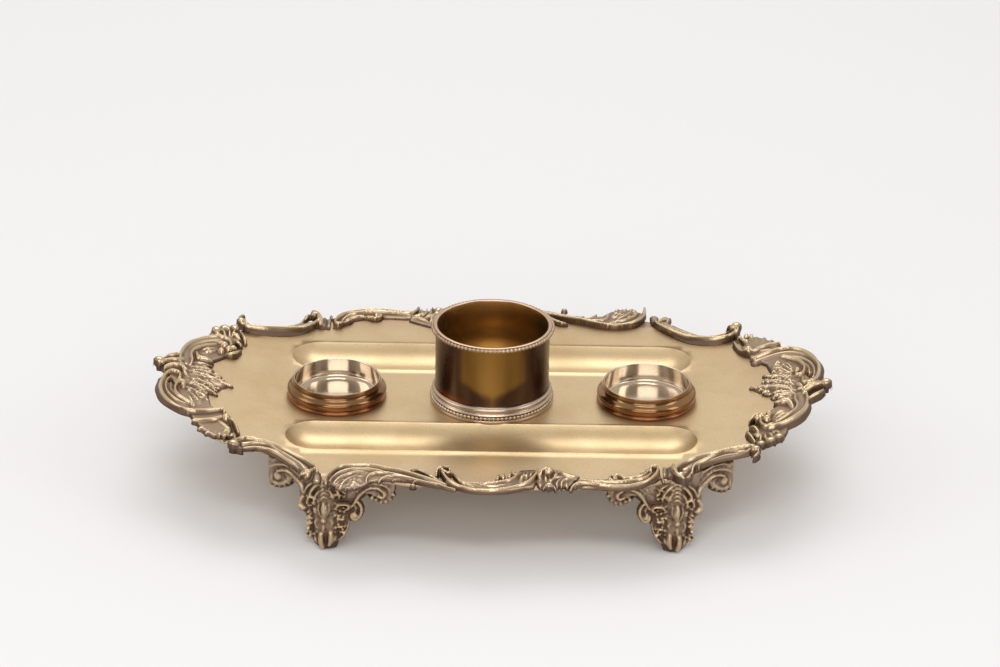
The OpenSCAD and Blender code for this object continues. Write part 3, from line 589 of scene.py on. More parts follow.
def end_relief():
    """An end mount: C-scroll, fluted knob, ribbon with its volute, leaf and two shells."""
    r = Relief(-160, -108, -63, 63, hang=0.7)
    r.sheet([(-144, -12), (-149, -8), (-149.5, -19), (-144, -30), (-137, -36), (-134, -43), (-130, -51),
             (-124, -57), (-118, -54), (-117, -42), (-121.5, -32), (-127, -26), (-129, -15), (-130, -8),
             (-132, 4), (-131, 12), (-129, 19), (-122.5, 27), (-121.5, 36), (-118, 44), (-118, 53),
             (-124, 57), (-131, 52), (-133.5, 42), (-140, 31), (-143.5, 20), (-146, 8), (-150, 4),
             (-147, -2)], 1.5)
    # C-scroll: broad outer band, bright rim, inner grooves and tendril
    stroke(r, [(164, 376), (160.6, 384), (162, 391), (166.6, 397.6), (174, 402.8), (182.4, 407),
               (192, 409), (203, 409.4), (214, 408.6), (221, 408)], 2.3, 2.8, soft_section, 0.85)
    stroke(r, [(179.6, 374.4), (180, 370.8), (176, 368.6), (171, 368.2), (166, 371), (162.4, 376.4),
               (161, 382.4), (162, 388.6), (165.4, 394.4), (170.6, 399.4), (177, 403.6), (185, 406.8),
               (194, 408.2), (204, 408.2), (214, 407.2), (222, 406.4), (224.6, 409)], 3.9, 0.95, ends=0.85)
    stroke(r, [(159.4, 378), (158, 385), (159.6, 391.6), (164, 398), (170.4, 403), (178, 407.6),
               (186, 411.4), (194, 414)], 1.3, 1.0, ends=0.7)
    stroke(r, [(172.6, 373.4), (167.4, 377.4), (165.6, 383.6), (168, 390), (174, 395.8),
               (182, 400.6), (190, 403.4)], 2.9, 0.8)
    stroke(r, [(183.6, 384.4), (184.6, 380.4), (181, 378), (176.8, 380.4), (175, 385.6), (177.4, 391),
               (183, 395.6), (189, 399.4), (194, 402.4)], 3.8, 0.85, ends=0.8)
    stroke(r, [(171.6, 381), (170.6, 386), (174, 391.6), (180, 396.6), (186.4, 400.6)], 2.7, 0.7)
    knob(r, 183.2, 383.6, 1.1, 3.2)
    # Fluted knob
    knob(r, 159.6, 362.2, 3.0, 3.0, 0.95)
    for path, height, breadth in (([(163, 357), (168, 353.6), (175, 352.2), (182, 351.4)], 4.2, 1.3),
                                  ([(161, 359.4), (169, 357.6), (176, 357), (183, 356.4)], 5.4, 1.5),
                                  ([(165, 364.6), (171, 362.4), (177, 361.8), (183, 361.6)], 4.6, 1.4),
                                  ([(182, 366), (184.4, 369), (186.4, 372)], 3.6, 1.0),
                                  ([(179, 364), (183, 364.4), (186.4, 367)], 3.6, 1.1)):
        stroke(r, path, height, breadth, ends=0.7)
    # Broad ribbon and its volute
    stroke(r, [(186, 362.4), (186, 355), (188.6, 348.4), (195, 343), (204, 340), (214, 338.6),
               (222, 338.6)], 3.0, 4.4, soft_section, 0.8)
    stroke(r, [(181, 362), (180.4, 354), (182.6, 347.4), (188, 341.8), (196, 338), (206, 335.6),
               (215, 334.4), (223, 334.8), (228.6, 337.6), (231, 342), (229.4, 347.4)], 4.3, 1.25, ends=0.8)
    stroke(r, [(191, 363.4), (192.4, 357), (191.6, 351.4), (194.4, 347), (200.6, 344.4), (209, 342.8),
               (217, 342)], 3.6, 1.0)
    for path in ([(202, 348.4), (208, 346.6), (215, 346.4)], [(204, 350.8), (210, 349.4), (216, 349)],
                 [(216, 341), (222, 340.4), (227, 342)]):
        stroke(r, path, 3.3, 0.75)
    stroke(r, [(196.6, 350.6), (199.4, 355), (205.6, 356.6), (211.4, 359.4)], 3.9, 1.9, ends=0.55)
    for x, y, radius in ((224.6, 345.4, 1.9), (229, 349, 1.6), (221.4, 350.2, 1.4), (233.6, 348.4, 1.5)):
        knob(r, x, y, radius, 3.0)
    for path in ([(232, 332), (236.6, 332.6), (240, 337)], [(234.4, 337.4), (238, 340.4), (241.4, 344)],
                 [(240, 330), (244, 335), (245.4, 341)], [(226, 352.4), (234, 351.4), (241, 349)]):
        stroke(r, path, 3.6, 1.1)
    # Leaf: a broad soft body, a midrib and ragged fingers
    stroke(r, [(188, 368), (197, 373.6), (206, 378), (216, 381.6), (225, 383.4)], 1.9, 5.0,
           soft_section, 0.35)
    stroke(r, [(190, 386), (195, 391), (199.4, 395)], 1.8, 5.2, soft_section, 0.6)
    for a, b, height, breadth in (
            ((186, 367.6), (232.4, 384), 3.2, 1.1), ((188, 365), (214, 369.4), 2.9, 1.2),
            ((190, 367.6), (217, 373.4), 2.8, 1.1), ((191, 361.6), (212, 364.6), 2.6, 1.2),
            ((189, 372.4), (222, 381), 2.9, 1.0), ((188, 375), (217.4, 386.6), 2.9, 1.1),
            ((187, 378), (217, 392.4), 3.0, 1.2), ((188, 381.4), (209, 391), 2.8, 1.0),
            ((187, 384.6), (208.6, 399.2), 2.9, 1.2), ((186.4, 388), (200, 401), 2.7, 1.1),
            ((186, 391.6), (193.4, 401.6), 2.5, 1.0)):
        mid = ((a[0] + b[0]) / 2, (a[1] + b[1]) / 2 - 1.2)
        stroke(r, [a, mid, b], height, breadth, soft_section, 0.3)
    for a, b in (((200, 372.6), (205.4, 376.4)), ((206, 378), (213, 384)), ((197, 383), (204, 389)),
                 ((195, 390.6), (201, 396.6)), ((206, 366.4), (211, 369.4))):
        stroke(r, [a, b], 3.5, 0.7, ends=0.6)
    lumps(r, 5, 110, [(188, 362), (204, 360), (214, 368), (226, 381), (214, 389), (206, 398), (196, 401),
                      (188, 394), (184, 376)], 35, 2.9, 0.42)
    # Rear shell: three round lobes with strands
    for x, y, radius in ((217, 330.4, 2.5), (225.4, 329, 2.6), (235, 328.6, 2.3)):
        knob(r, x, y, radius, 1.7, 0.75)
    for path in ([(214, 326), (217, 330), (222, 334.6)], [(221.4, 324.8), (224, 329.6), (226, 334)],
                 [(229, 325.4), (229.6, 330), (229.6, 335)], [(236, 325.6), (234, 330), (232, 335)]):
        stroke(r, path, 3.7, 0.8)
    # Front shell: a dish with a rolled far edge and a row of lobes below
    stroke(r, [(204, 418), (213, 418.4), (222, 421), (228, 427)], 2.0, 3.4, soft_section, 0.7)
    stroke(r, [(193, 418), (203, 417.8), (213, 417), (220, 415.4), (227, 415.4), (233, 419),
               (236.6, 425), (238.4, 431)], 3.4, 1.1, ends=0.7)
    knob(r, 226.4, 417.4, 1.9, 3.0)
    for a, b, breadth in (((195.6, 421.6), (203, 419.4), 1.1), ((199.4, 427.6), (206.4, 423), 1.4),
                          ((206.4, 432.2), (211.4, 425.6), 1.5), ((214, 434.8), (217, 428), 1.5),
                          ((222, 436), (221.8, 429.6), 1.3), ((229, 436.6), (226.6, 430.4), 1.2)):
        stroke(r, [a, ((a[0] + b[0]) / 2, (a[1] + b[1]) / 2 - 0.6), b], 1.7, breadth, ends=0.7)
    for x, y in ((219.4, 434.4), (224.4, 436), (228.4, 431.4), (231.4, 435.8), (225.6, 430.4)):
        knob(r, x, y, 1.0, 2.2)
    return r


# Feet

FOLD_TURN = math.radians(42.0)
LEFT_TOE, RIGHT_TOE = (72.5, 80.0), (81.5, 78.0)
FOLD_AT = np.linspace(-45, 45, 1801)
FOLD_ANGLE = -FOLD_TURN / (1 + np.exp(FOLD_AT / 1.7))
FOLD_STEP = FOLD_AT[1] - FOLD_AT[0]
FOLD_X = np.cumsum(np.cos(FOLD_ANGLE)) * FOLD_STEP
FOLD_Y = np.cumsum(np.sin(FOLD_ANGLE)) * FOLD_STEP
FOLD = len(FOLD_AT) // 2
FOLD_X, FOLD_Y = FOLD_X - FOLD_X[FOLD], FOLD_Y - FOLD_Y[FOLD]


def bent(u, h):
    """Distance across the unrolled foot, and outwards from it, to the folded bracket's plan."""
    a = np.interp(u, FOLD_AT, FOLD_ANGLE)
    lean = a * np.clip(np.abs(u) / 14, 0.35, 1)
    return (np.interp(u, FOLD_AT, FOLD_X) + np.sin(lean) * h,
            np.interp(u, FOLD_AT, FOLD_Y) - np.cos(lean) * h)


def on_foot(px, py, h):
    """Distance across the front left foot and height of the spot seen at this pixel."""
    x, y = bent(FOLD_AT, h)
    x, y = x - LEFT_TOE[0], y - LEFT_TOE[1]
    across, _ = to_picture(x, y, TRAY_TOP / 2)
    u = float(np.interp(px, across, FOLD_AT))
    bx, by = bent(u, h)
    _, low = to_picture(bx - LEFT_TOE[0], by - LEFT_TOE[1], 0.0)
    _, top = to_picture(bx - LEFT_TOE[0], by - LEFT_TOE[1], TRAY_TOP)
    return [u, float(TRAY_TOP * (py - low) / (top - low))]


def foot_relief():
    """A foot unrolled flat: across is the distance from the fold, up is the height."""
    r = Relief(-38, 38, 0.2, 37, hang=0.0)

    def cast(points, height, breadth, section=round_section, ends=0.6, base=0.3):
        rows = tapered(points, height, breadth, ends)
        r.ridge([[*on_foot(p[0], p[1], p[2] + base), p[2], p[3]] for p in rows], section, base)

    def stud(px, py, radius, lift, squash=1.0):
        u, v = on_foot(px, py, lift + radius * 0.5)
        r.ball(u, v, radius, lift, squash)

    def plate(points, height, edge, base=0.2):
        r.sheet([on_foot(px, py, height) for px, py in points], height, edge, base)

    plate([(396.4, 470), (396.4, 481), (395.8, 489.9), (393.7, 495.3), (390, 500), (382.9, 502),
           (376.2, 499), (370.7, 495.3), (365, 494.4), (360.5, 498.4), (358.5, 503), (362, 506.5),
           (362.2, 512), (360.6, 518), (355.9, 521.6), (349.6, 521.4), (347, 525), (344.2, 532),
           (339.6, 540), (335, 543.5), (325, 546), (315, 543), (309.6, 537.2), (307, 527.8),
           (305.6, 519.7), (304, 512.9), (299, 510.6), (296.8, 506.6), (298, 502.6), (299.8, 499),
           (298.6, 494.3), (299, 489.4), (296, 483.6), (292.4, 479.5), (291.4, 482), (287, 485),
           (281.5, 486.3), (274.4, 485.6), (269.6, 481.6), (267.8, 476.6), (267.3, 455)], 2.0, 1.0)
    # Rounded body of the leg
    cast([(323, 543), (323.2, 530), (323.4, 515), (324, 500), (324.6, 484)], 3.4, 8.2,
         soft_section, 0.75, 0.8)
    # Arch beads, ribs and discs of the wings
    cast([(348, 511), (352.6, 506), (355.9, 501.4), (358.6, 496.7), (364, 491.6), (370.7, 488.9),
          (377.5, 489.5), (382.9, 492.8), (384.3, 496.2), (381.6, 498.9), (377.8, 497)], 3.4, 1.25, ends=0.8)
    cast([(356.4, 492), (362.6, 487), (370.8, 484.6), (379.6, 485.2), (387.6, 488.8), (390.4, 495)],
         2.8, 0.9)
    cast([(361, 480), (368, 478), (378, 479.6), (388, 482.6), (393.6, 487)], 2.5, 0.8)
    for px, py in ((371.6, 498), (375.8, 500.4), (380.6, 502.2), (385.8, 502), (390.2, 499.4), (393.4, 495)):
        stud(px, py, 1.15, 1.4)
    cast([(276.1, 471.6), (282.9, 470.8), (288.3, 473), (293.7, 477.9), (297.7, 483.1), (300.6, 488),
          (302.6, 493.4)], 3.4, 1.3, ends=0.8)
    cast([(269, 467.4), (275, 465), (283.6, 465.4), (291, 469.2), (297.4, 475.4), (302, 482)], 2.8, 0.9)
    cast([(270, 460), (279, 459.4), (289, 462.8), (298, 469), (304, 476)], 2.5, 0.8)
    stud(276.1, 476.6, 2.1, 2.3, 0.6)
    cast([(271.6, 474), (270.6, 478.6), (273.6, 482.8), (279.6, 484), (285, 481.8), (287.4, 477.6)],
         2.6, 1.3, ends=0.8)
    for px, py in ((271, 482.6), (275, 485.2), (279.8, 486), (284.6, 485), (288.6, 482.8)):
        stud(px, py, 1.1, 1.3)
    # Side scrolls and the curls above them
    cast([(301.4, 497), (298.9, 500.8), (297.9, 505.6), (300.4, 509.4), (303.6, 508.2)], 3.4, 1.2, ends=0.8)
    stud(300.2, 506.4, 1.2, 3.0)
    cast([(358, 503), (361, 508), (360.8, 514.6), (357, 519.8), (352.4, 519.4), (351.4, 515.4),
          (354.4, 513)], 3.4, 1.3, ends=0.8)
    stud(355, 516.2, 1.2, 3.0)
    cast([(353, 504), (355.6, 508), (356.4, 512)], 2.9, 1.0)
    cast([(306, 504.6), (306.8, 499.6), (310, 497.6), (313.4, 500), (312.2, 503.6)], 4.9, 0.95, ends=0.8)
    cast([(335.6, 509), (338.6, 505.8), (343, 505.4), (347.4, 506.2), (348.8, 509), (345.6, 510.6)],
         4.9, 1.0, ends=0.8)
    # Leg edges, veins and toes
    cast([(304.8, 513), (306.6, 521), (308.4, 529), (311, 536.6), (315, 541.4)], 3.3, 0.9)
    cast([(349.4, 521.6), (346.4, 531), (341.6, 538), (336.4, 541.8)], 3.3, 0.9)
    for side in (-1, 1):
        cast([(323.3 + side * 6, 518), (323.3 + side * 9, 523), (323.3 + side * 7, 529)], 4.2, 0.6)
        cast([(323.3 + side * 12, 513), (323.3 + side * 15, 517), (323.3 + side * 13, 523)], 3.7, 0.6)
        cast([(323.6 + side * 5, 484), (323.6 + side * 10, 488), (323.6 + side * 14.4, 494),
              (323.6 + side * 15.4, 500)], 4.4, 1.1)
        cast([(323.6 + side * 4.4, 491), (323.6 + side * 8, 495), (323.6 + side * 9.6, 500)], 4.6, 0.9)
        cast([(323.6 + side * 11, 483), (323.6 + side * 17, 487), (323.6 + side * 20, 493)], 3.6, 0.9)
    for py in (483, 487, 491, 495, 499):
        cast([(320, py + 1), (323.8, py - 1), (327.6, py + 1)], 5.4, 0.7)
    cast([(318.4, 505), (317.6, 511), (320.4, 516.8), (323.2, 519), (326, 516.8), (328.8, 511),
          (328, 505)], 4.9, 0.7, ends=0.9)
    cast([(323.2, 505), (323.1, 510), (323.1, 514), (323.1, 517)], 6.4, 1.9, ends=0.6)
    stud(322.9, 521.6, 1.1, 4.6)
    cast([(322.8, 524), (322.8, 529), (322.6, 534)], 5.0, 1.0)
    cast([(320.2, 535.6), (319.8, 540), (320.2, 545), (321.4, 548.4)], 6.2, 1.9, ends=0.8)
    cast([(330.4, 534), (330.6, 538), (330, 542), (328.6, 546)], 5.6, 1.7, ends=0.75)
    cast([(314.4, 536), (315, 540), (317, 544)], 4.0, 1.2)
    cast([(336, 536), (335.2, 539.4), (332.6, 543.4)], 4.0, 1.1)
    # Small lumps and a stippled ground
    rng = np.random.default_rng(7)
    for _ in range(150):
        stud(rng.uniform(306, 345), rng.uniform(486, 538), rng.uniform(0.4, 0.75), rng.uniform(3.1, 4.1), 0.8)
    for _ in range(50):
        stud(rng.uniform(352, 392), rng.uniform(480, 494), rng.uniform(0.35, 0.6), rng.uniform(1.9, 2.3), 0.8)
    for _ in range(40):
        stud(rng.uniform(270, 300), rng.uniform(458, 484), rng.uniform(0.35, 0.6), rng.uniform(1.9, 2.3), 0.8)
    for x, y in zip(rng.uniform(-33, 33, 700), rng.uniform(3, 36, 700)):
        win = r.window((x - 0.7, y - 0.7), (x + 0.7, y + 0.7))
        dent = np.clip(1 - np.hypot(r.X[win] - x, r.Y[win] - y) / 0.6, 0, 1)
        r.top[win] -= np.where(r.top[win] < 4.6, 0.34 * dent, 0)
    return r


def foot_place(side, toe):
    """From the unrolled foot to the bracket folded under a corner of the tray."""
    def place(verts):
        u, v, h = verts.T
        x, y = bent(u, h)
        under = TRAY_TOP - 0.4 + rise(side * (toe[0] - x))
        return np.column_stack([side * (toe[0] - x), y - toe[1], np.minimum(v, under)])
    return place


def flipped(piece):
    """Faces turned over, for a piece that was mirrored when it was laid out."""
    piece.data.flip_normals()
    return piece


# Tray


def plate_edge():
    """The plate's outline, half of it drawn and turned for the other half."""
    half = [(115, -59), (108, -60.5), (98, -63.5), (90, -70), (86, -78), (78, -81.5), (70, -85),
            (60, -88.5), (48, -88), (36, -90), (24, -90.5), (12, -91.5), (0, -93), (-12, -91.5),
            (-24, -89.5), (-36, -89), (-48, -86), (-62, -85.5), (-74, -84.5), (-84, -79.5),
            (-90, -70), (-98, -63.5), (-108, -60.5), (-115, -59), (-122, -56.5), (-129, -50),
            (-133, -41), (-141, -31.5), (-147, -21), (-148.5, -9), (-147, 3), (-143.5, 14),
            (-142, 24), (-136.5, 33.5), (-130.5, 42), (-128, 50.5), (-122, 56.5)]
    ring = np.array(half + [(-x, -y) for x, y in half], float)
    closed = np.vstack([ring, ring[:1]])
    return curve(closed, 2.0)[:-1][::-1]


TROUGH_HALF, TROUGH_WIDE, TROUGH_DEEP, TROUGH_Y = 78.75, 13.75, 5.5, 41.6
ROLL = 0.35  # how far the trough's rim is rolled over
FLAT_RIM = 0.4  # flat strip round it, which keeps the plate's shading level


def trough_ring(offset, sign, steps=40):
    """Closed ring at a distance from the trough's spine."""
    a = np.linspace(-math.pi / 2, math.pi / 2, steps)
    straight = np.linspace(TROUGH_HALF, -TROUGH_HALF, 60)[1:-1]
    right = np.column_stack([TROUGH_HALF + offset * np.cos(a), offset * np.sin(a)])
    left = np.column_stack([-TROUGH_HALF - offset * np.cos(a), -offset * np.sin(a)])
    top = np.column_stack([straight, np.full_like(straight, offset)])
    low = np.column_stack([-straight, np.full_like(straight, -offset)])
    return np.vstack([right, top, left, low]) + [0, sign * TROUGH_Y]


def tray_piece():
    """The plate with both troughs pressed into it, swept up at its ends."""
    radius = (TROUGH_WIDE**2 + TROUGH_DEEP**2) / (2 * TROUGH_DEEP)
    lip = [TROUGH_WIDE + ROLL * share for share in (1, 0.66, 0.25, -0.2, -0.7)]
    offsets = np.concatenate([[TROUGH_WIDE + ROLL + FLAT_RIM], lip,
                              np.linspace(TROUGH_WIDE - 1.4, 0.0, 16)])
    drops = []
    for d in offsets:
        deep = radius - TROUGH_DEEP - math.sqrt(max(radius**2 - d**2, 0))
        gap = TROUGH_WIDE + ROLL - d
        drops.append(deep if gap > 2 * ROLL else max(deep, -0.2 * (max(gap, 0) / ROLL) ** 2))
    edge = plate_edge()
    points = [tuple(p) for p in edge]
    loops = [list(range(len(edge)))]
    rings = []
    for sign in (-1, 1):
        ring = trough_ring(offsets[0], sign)
        rings.append((sign, len(points), len(ring)))
        loops.append(list(range(len(points), len(points) + len(ring))))
        points += [tuple(p) for p in ring]
    lo, hi = edge.min(0), edge.max(0)

    def plain(x, y, grow):
        """Which spots are on the plate and further than grow outside both troughs."""
        over = np.maximum(np.abs(x) - TROUGH_HALF, 0)
        away = np.hypot(over, np.abs(y) - TROUGH_Y)
        return enclosed(edge, x, y) & (away >= TROUGH_WIDE + ROLL + FLAT_RIM + grow)

    xs = np.concatenate([np.arange(0, 84, 7.0), np.arange(84, 97, 1.3), np.arange(98, hi[0], 6.0)])
    xs = np.unique(np.concatenate([-xs, xs]))
    grid = np.array([(x, y) for x in xs for y in np.arange(math.ceil(lo[1]) + 2, hi[1], 6.0)])
    points += [tuple(p) for p in grid[plain(*grid.T, 1.0)] if np.hypot(*(edge - p).T).min() > 1.6]
    edges = [(a, b) for l in loops for a, b in zip(l, l[1:] + l[:1])]
    verts, _, tris, *_ = geometry.delaunay_2d_cdt([Vector(p) for p in points], edges, [], 0, 1e-7)
    verts = np.array([tuple(v) for v in verts])
    tris = np.array([t for t in tris if len(t) == 3])
    tris = tris[plain(*verts[tris].mean(1).T, -1e-4)]
    area = np.cross(verts[tris[:, 1]] - verts[tris[:, 0]], verts[tris[:, 2]] - verts[tris[:, 0]])
    tris = np.where(area[:, None] > 0, tris, tris[:, ::-1])
    z = rise(verts[:, 0])
    top = [np.column_stack([verts, TRAY_TOP + z])]
    count, faces, quads = len(verts), [tris], []
    for sign, first, n in rings:
        last = np.arange(first, first + n)
        for d, drop in zip(offsets[1:], drops[1:]):
            ring = trough_ring(d, sign)
            share = np.clip(d / TROUGH_WIDE, 0, 1) ** 2 if d < TROUGH_WIDE else 1.0
            top.append(np.column_stack([ring, TRAY_TOP + drop + rise(ring[:, 0]) * share]))
            here = np.arange(count, count + n)
            quads.append(np.column_stack([last, np.roll(last, -1), np.roll(here, -1), here]))
            last, count = here, count + n
    top = np.vstack(top)
    quads = np.vstack(quads)
    if sign_of(top, quads[0]) < 0:
        quads = quads[:, ::-1]
    under = top - [0, 0, 1.2]
    n = len(top)
    rim = np.array(loops[0])
    wall = np.column_stack([rim, rim + n, np.roll(rim, -1) + n, np.roll(rim, -1)])
    if np.cross(edge[1] - edge[0], edge.mean(0) - edge[0]) < 0:
        wall = wall[:, ::-1]
    return mesh_object("tray_plate", np.vstack([top, under]),
                       [tris, quads, tris[:, ::-1] + n, quads[:, ::-1] + n, wall])


def sign_of(points, face):
    """Above nought for a face that looks up."""
    a, b, c = (points[i] for i in face[:3])
    return float(np.cross(b - a, c - a)[2])


# Spun pieces and beads


BEAD_RING, BEAD_RADIUS, BEAD_COUNT = 27.4, 0.9, 90
TOP_BEADS, BASE_BEADS = 36.2, 2.4
COLLAR_X = 70.85


def arc(cx, cz, radius, start, stop, steps=9):
    """Points of a profile round a middle, from one angle to another in degrees."""
    a = np.radians(np.linspace(start, stop, steps))
    return [(cx + radius * math.cos(t), cz + radius * math.sin(t)) for t in a]


def rings(rows, centre, closed):
    """Vertices of [radius, height] rows spun round the line through centre, and their quads."""
    a = np.linspace(0, 2 * math.pi, SPUN_STEPS, endpoint=False)
    ring = np.column_stack([np.cos(a), np.sin(a)])
    verts = np.vstack([np.column_stack([ring * r, np.full(SPUN_STEPS, z)]) for r, z in rows])
    bands = len(rows) if closed else len(rows) - 1
    i, k = np.divmod(np.arange(bands * SPUN_STEPS), SPUN_STEPS)
    j, m = (i + 1) % len(rows), (k + 1) % SPUN_STEPS
    quads = np.column_stack([i * SPUN_STEPS + k, i * SPUN_STEPS + m, j * SPUN_STEPS + m, j * SPUN_STEPS + k])
    return verts + [*centre, TRAY_TOP], quads


def spun(name, profile, centre):
    """A closed profile of [radius, height] spun round the upright line through centre."""
    verts, quads = rings(profile, centre, True)
    return mesh_object(name, verts, [quads])


def spun_cup(name, profile, centre):
    """As spun, for a profile that starts and ends on the middle line."""
    rows = profile[1:-1]
    verts, quads = rings(rows, centre, False)
    middles = [[*centre, TRAY_TOP + profile[k][1]] for k in (0, -1)]
    k = np.arange(SPUN_STEPS)
    m = (k + 1) % SPUN_STEPS
    first, end = len(rows) * SPUN_STEPS, (len(rows) - 1) * SPUN_STEPS
    caps = np.vstack([np.column_stack([np.full(SPUN_STEPS, first), m, k]),
                      np.column_stack([np.full(SPUN_STEPS, first + 1), end + k, end + m])])
    return mesh_object(name, np.vstack([verts, middles]), [quads, caps])


def bead_tree():
    """Beads of one size set at equal distances round a wire."""
    tree = bpy.data.node_groups.new("beaded wire", "GeometryNodeTree")
    face = tree.interface
    face.new_socket("Geometry", in_out="INPUT", socket_type="NodeSocketGeometry")
    sizes = {}
    for name, kind in (("Ring radius", "NodeSocketFloat"), ("Bead radius", "NodeSocketFloat"),
                       ("Height", "NodeSocketFloat"), ("Beads", "NodeSocketInt"),
                       ("Finish", "NodeSocketMaterial")):
        sizes[name] = face.new_socket(name, in_out="INPUT", socket_type=kind).identifier
    face.new_socket("Geometry", in_out="OUTPUT", socket_type="NodeSocketGeometry")
    new, link = tree.nodes.new, tree.links.new
    given, out = new("NodeGroupInput"), new("NodeGroupOutput")
    circle, ball = new("GeometryNodeMeshCircle"), new("GeometryNodeMeshUVSphere")
    ball.inputs["Segments"].default_value = 16
    ball.inputs["Rings"].default_value = 10
    link(given.outputs["Beads"], circle.inputs["Vertices"])
    link(given.outputs["Ring radius"], circle.inputs["Radius"])
    link(given.outputs["Bead radius"], ball.inputs["Radius"])
    lift, offset = new("GeometryNodeTransform"), new("ShaderNodeCombineXYZ")
    link(given.outputs["Height"], offset.inputs["Z"])
    link(circle.outputs["Mesh"], lift.inputs["Geometry"])
    link(offset.outputs["Vector"], lift.inputs["Translation"])
    sow = new("GeometryNodeInstanceOnPoints")
    link(lift.outputs["Geometry"], sow.inputs["Points"])
    link(ball.outputs["Mesh"], sow.inputs["Instance"])
    wire = new("GeometryNodeCurvePrimitiveCircle")
    wire.inputs["Resolution"].default_value = 180
    link(given.outputs["Ring radius"], wire.inputs["Radius"])
    section = new("GeometryNodeCurvePrimitiveCircle")
    section.inputs["Resolution"].default_value = 10
    thin = new("ShaderNodeMath")
    thin.operation = "MULTIPLY"
    thin.inputs[1].default_value = 0.45
    link(given.outputs["Bead radius"], thin.inputs[0])
    link(thin.outputs[0], section.inputs["Radius"])
    sweep = new("GeometryNodeCurveToMesh")
    link(wire.outputs["Curve"], sweep.inputs["Curve"])
    link(section.outputs["Curve"], sweep.inputs["Profile Curve"])
    raise_wire = new("GeometryNodeTransform")
    link(sweep.outputs["Mesh"], raise_wire.inputs["Geometry"])
    link(offset.outputs["Vector"], raise_wire.inputs["Translation"])
    both, real = new("GeometryNodeJoinGeometry"), new("GeometryNodeRealizeInstances")
    link(sow.outputs["Instances"], both.inputs["Geometry"])
    link(raise_wire.outputs["Geometry"], both.inputs["Geometry"])
    link(both.outputs["Geometry"], real.inputs["Geometry"])
    smooth, paint = new("GeometryNodeSetShadeSmooth"), new("GeometryNodeSetMaterial")
    link(real.outputs["Geometry"], smooth.inputs["Geometry"])
    link(smooth.outputs["Geometry"], paint.inputs["Geometry"])
    link(given.outputs["Finish"], paint.inputs["Material"])
    link(paint.outputs["Geometry"], out.inputs["Geometry"])
    return tree, sizes


def beaded_wire(name, tree, sizes, height, finish):
    """The beads of one wire as a mesh, at a height over the tray."""
    seed = bpy.data.meshes.new(name + " seed")
    maker = bpy.data.objects.new(name + " maker", seed)
    bpy.context.scene.collection.objects.link(maker)
    mod = maker.modifiers.new("beads", "NODES")
    mod.node_group = tree
    for key, value in (("Ring radius", BEAD_RING * MM), ("Bead radius", BEAD_RADIUS * MM),
                       ("Height", (TRAY_TOP + height) * MM), ("Beads", BEAD_COUNT), ("Finish", finish)):
        mod[sizes[key]] = value
    bpy.context.view_layer.update()
    graph = bpy.context.evaluated_depsgraph_get()
    mesh = bpy.data.meshes.new_from_object(maker.evaluated_get(graph))
    bpy.data.objects.remove(maker)
    piece = bpy.data.objects.new(name, mesh)
    bpy.context.scene.collection.objects.link(piece)
    return piece


# Finishes


def srgb(r, g, b):
    """A colour read as 0 to 255 in the picture, as the shader wants it."""
    return tuple(((c / 255 + 0.055) / 1.055) ** 2.4 if c > 10 else c / 3294 for c in (r, g, b)) + (1.0,)


def shader_group(name, ins, outs):
    """An empty group with its sockets, to be used by several finishes."""
    tree = bpy.data.node_groups.new(name, "ShaderNodeTree")
    kinds = {"f": "NodeSocketFloat", "c": "NodeSocketColor", "v": "NodeSocketVector"}
    for label, kind, value in ins:
        sock = tree.interface.new_socket(label, in_out="INPUT", socket_type=kinds[kind])
        if value is not None:
            sock.default_value = value
    for label, kind in outs:
        tree.interface.new_socket(label, in_out="OUTPUT", socket_type=kinds[kind])
    return tree, tree.nodes.new("NodeGroupInput"), tree.nodes.new("NodeGroupOutput")


def noise(tree, scale, detail=4.0, rough=0.55, stretch=None):
    """Noise over the object's own coordinates, in metres."""
    at = tree.nodes.new("ShaderNodeTexCoord")
    n = tree.nodes.new("ShaderNodeTexNoise")
    n.inputs["Scale"].default_value = scale
    n.inputs["Detail"].default_value = detail
    n.inputs["Roughness"].default_value = rough
    if stretch:
        m = tree.nodes.new("ShaderNodeMapping")
        m.inputs["Scale"].default_value = stretch
        tree.links.new(at.outputs["Object"], m.inputs["Vector"])
        tree.links.new(m.outputs["Vector"], n.inputs["Vector"])
    else:
        tree.links.new(at.outputs["Object"], n.inputs["Vector"])
    return n.outputs["Fac"]


def math_node(tree, operation, a, b=None):
    n = tree.nodes.new("ShaderNodeMath")
    n.operation = operation
    for socket, value in zip(n.inputs, (a, b)):
        if isinstance(value, (int, float)):
            socket.default_value = value
        elif value is not None:
            tree.links.new(value, socket)
    return n.outputs[0]


def times(tree, a, b):
    return math_node(tree, "MULTIPLY", a, b)


def plus(tree, a, b):
    return math_node(tree, "ADD", a, b)


def shaken(tree, value, grain, amount):
    """A value with noise added to it, so that what depends on it has a broken edge."""
    return plus(tree, value, times(tree, math_node(tree, "SUBTRACT", grain, 0.5), amount))


def ramp(tree, value, lo, hi):
    """From 0 where value is lo to 1 where it is hi."""
    n = tree.nodes.new("ShaderNodeMapRange")
    n.interpolation_type = "SMOOTHSTEP"
    n.clamp = True
    for label, v in (("From Min", lo), ("From Max", hi)):
        if isinstance(v, (int, float)):
            n.inputs[label].default_value = v
        else:
            tree.links.new(v, n.inputs[label])
    tree.links.new(value, n.inputs["Value"])
    return n.outputs["Result"]


def mix(tree, factor, a, b):
    """Colour a where factor is 0 and colour b where it is 1."""
    n = tree.nodes.new("ShaderNodeMix")
    n.data_type = "RGBA"
    for label, value in (("Factor", factor), ("A", a), ("B", b)):
        socket = next(s for s in n.inputs if s.name == label and s.enabled)
        if isinstance(value, (int, float, tuple)):
            socket.default_value = value
        else:
            tree.links.new(value, socket)
    return next(s for s in n.outputs if s.enabled)


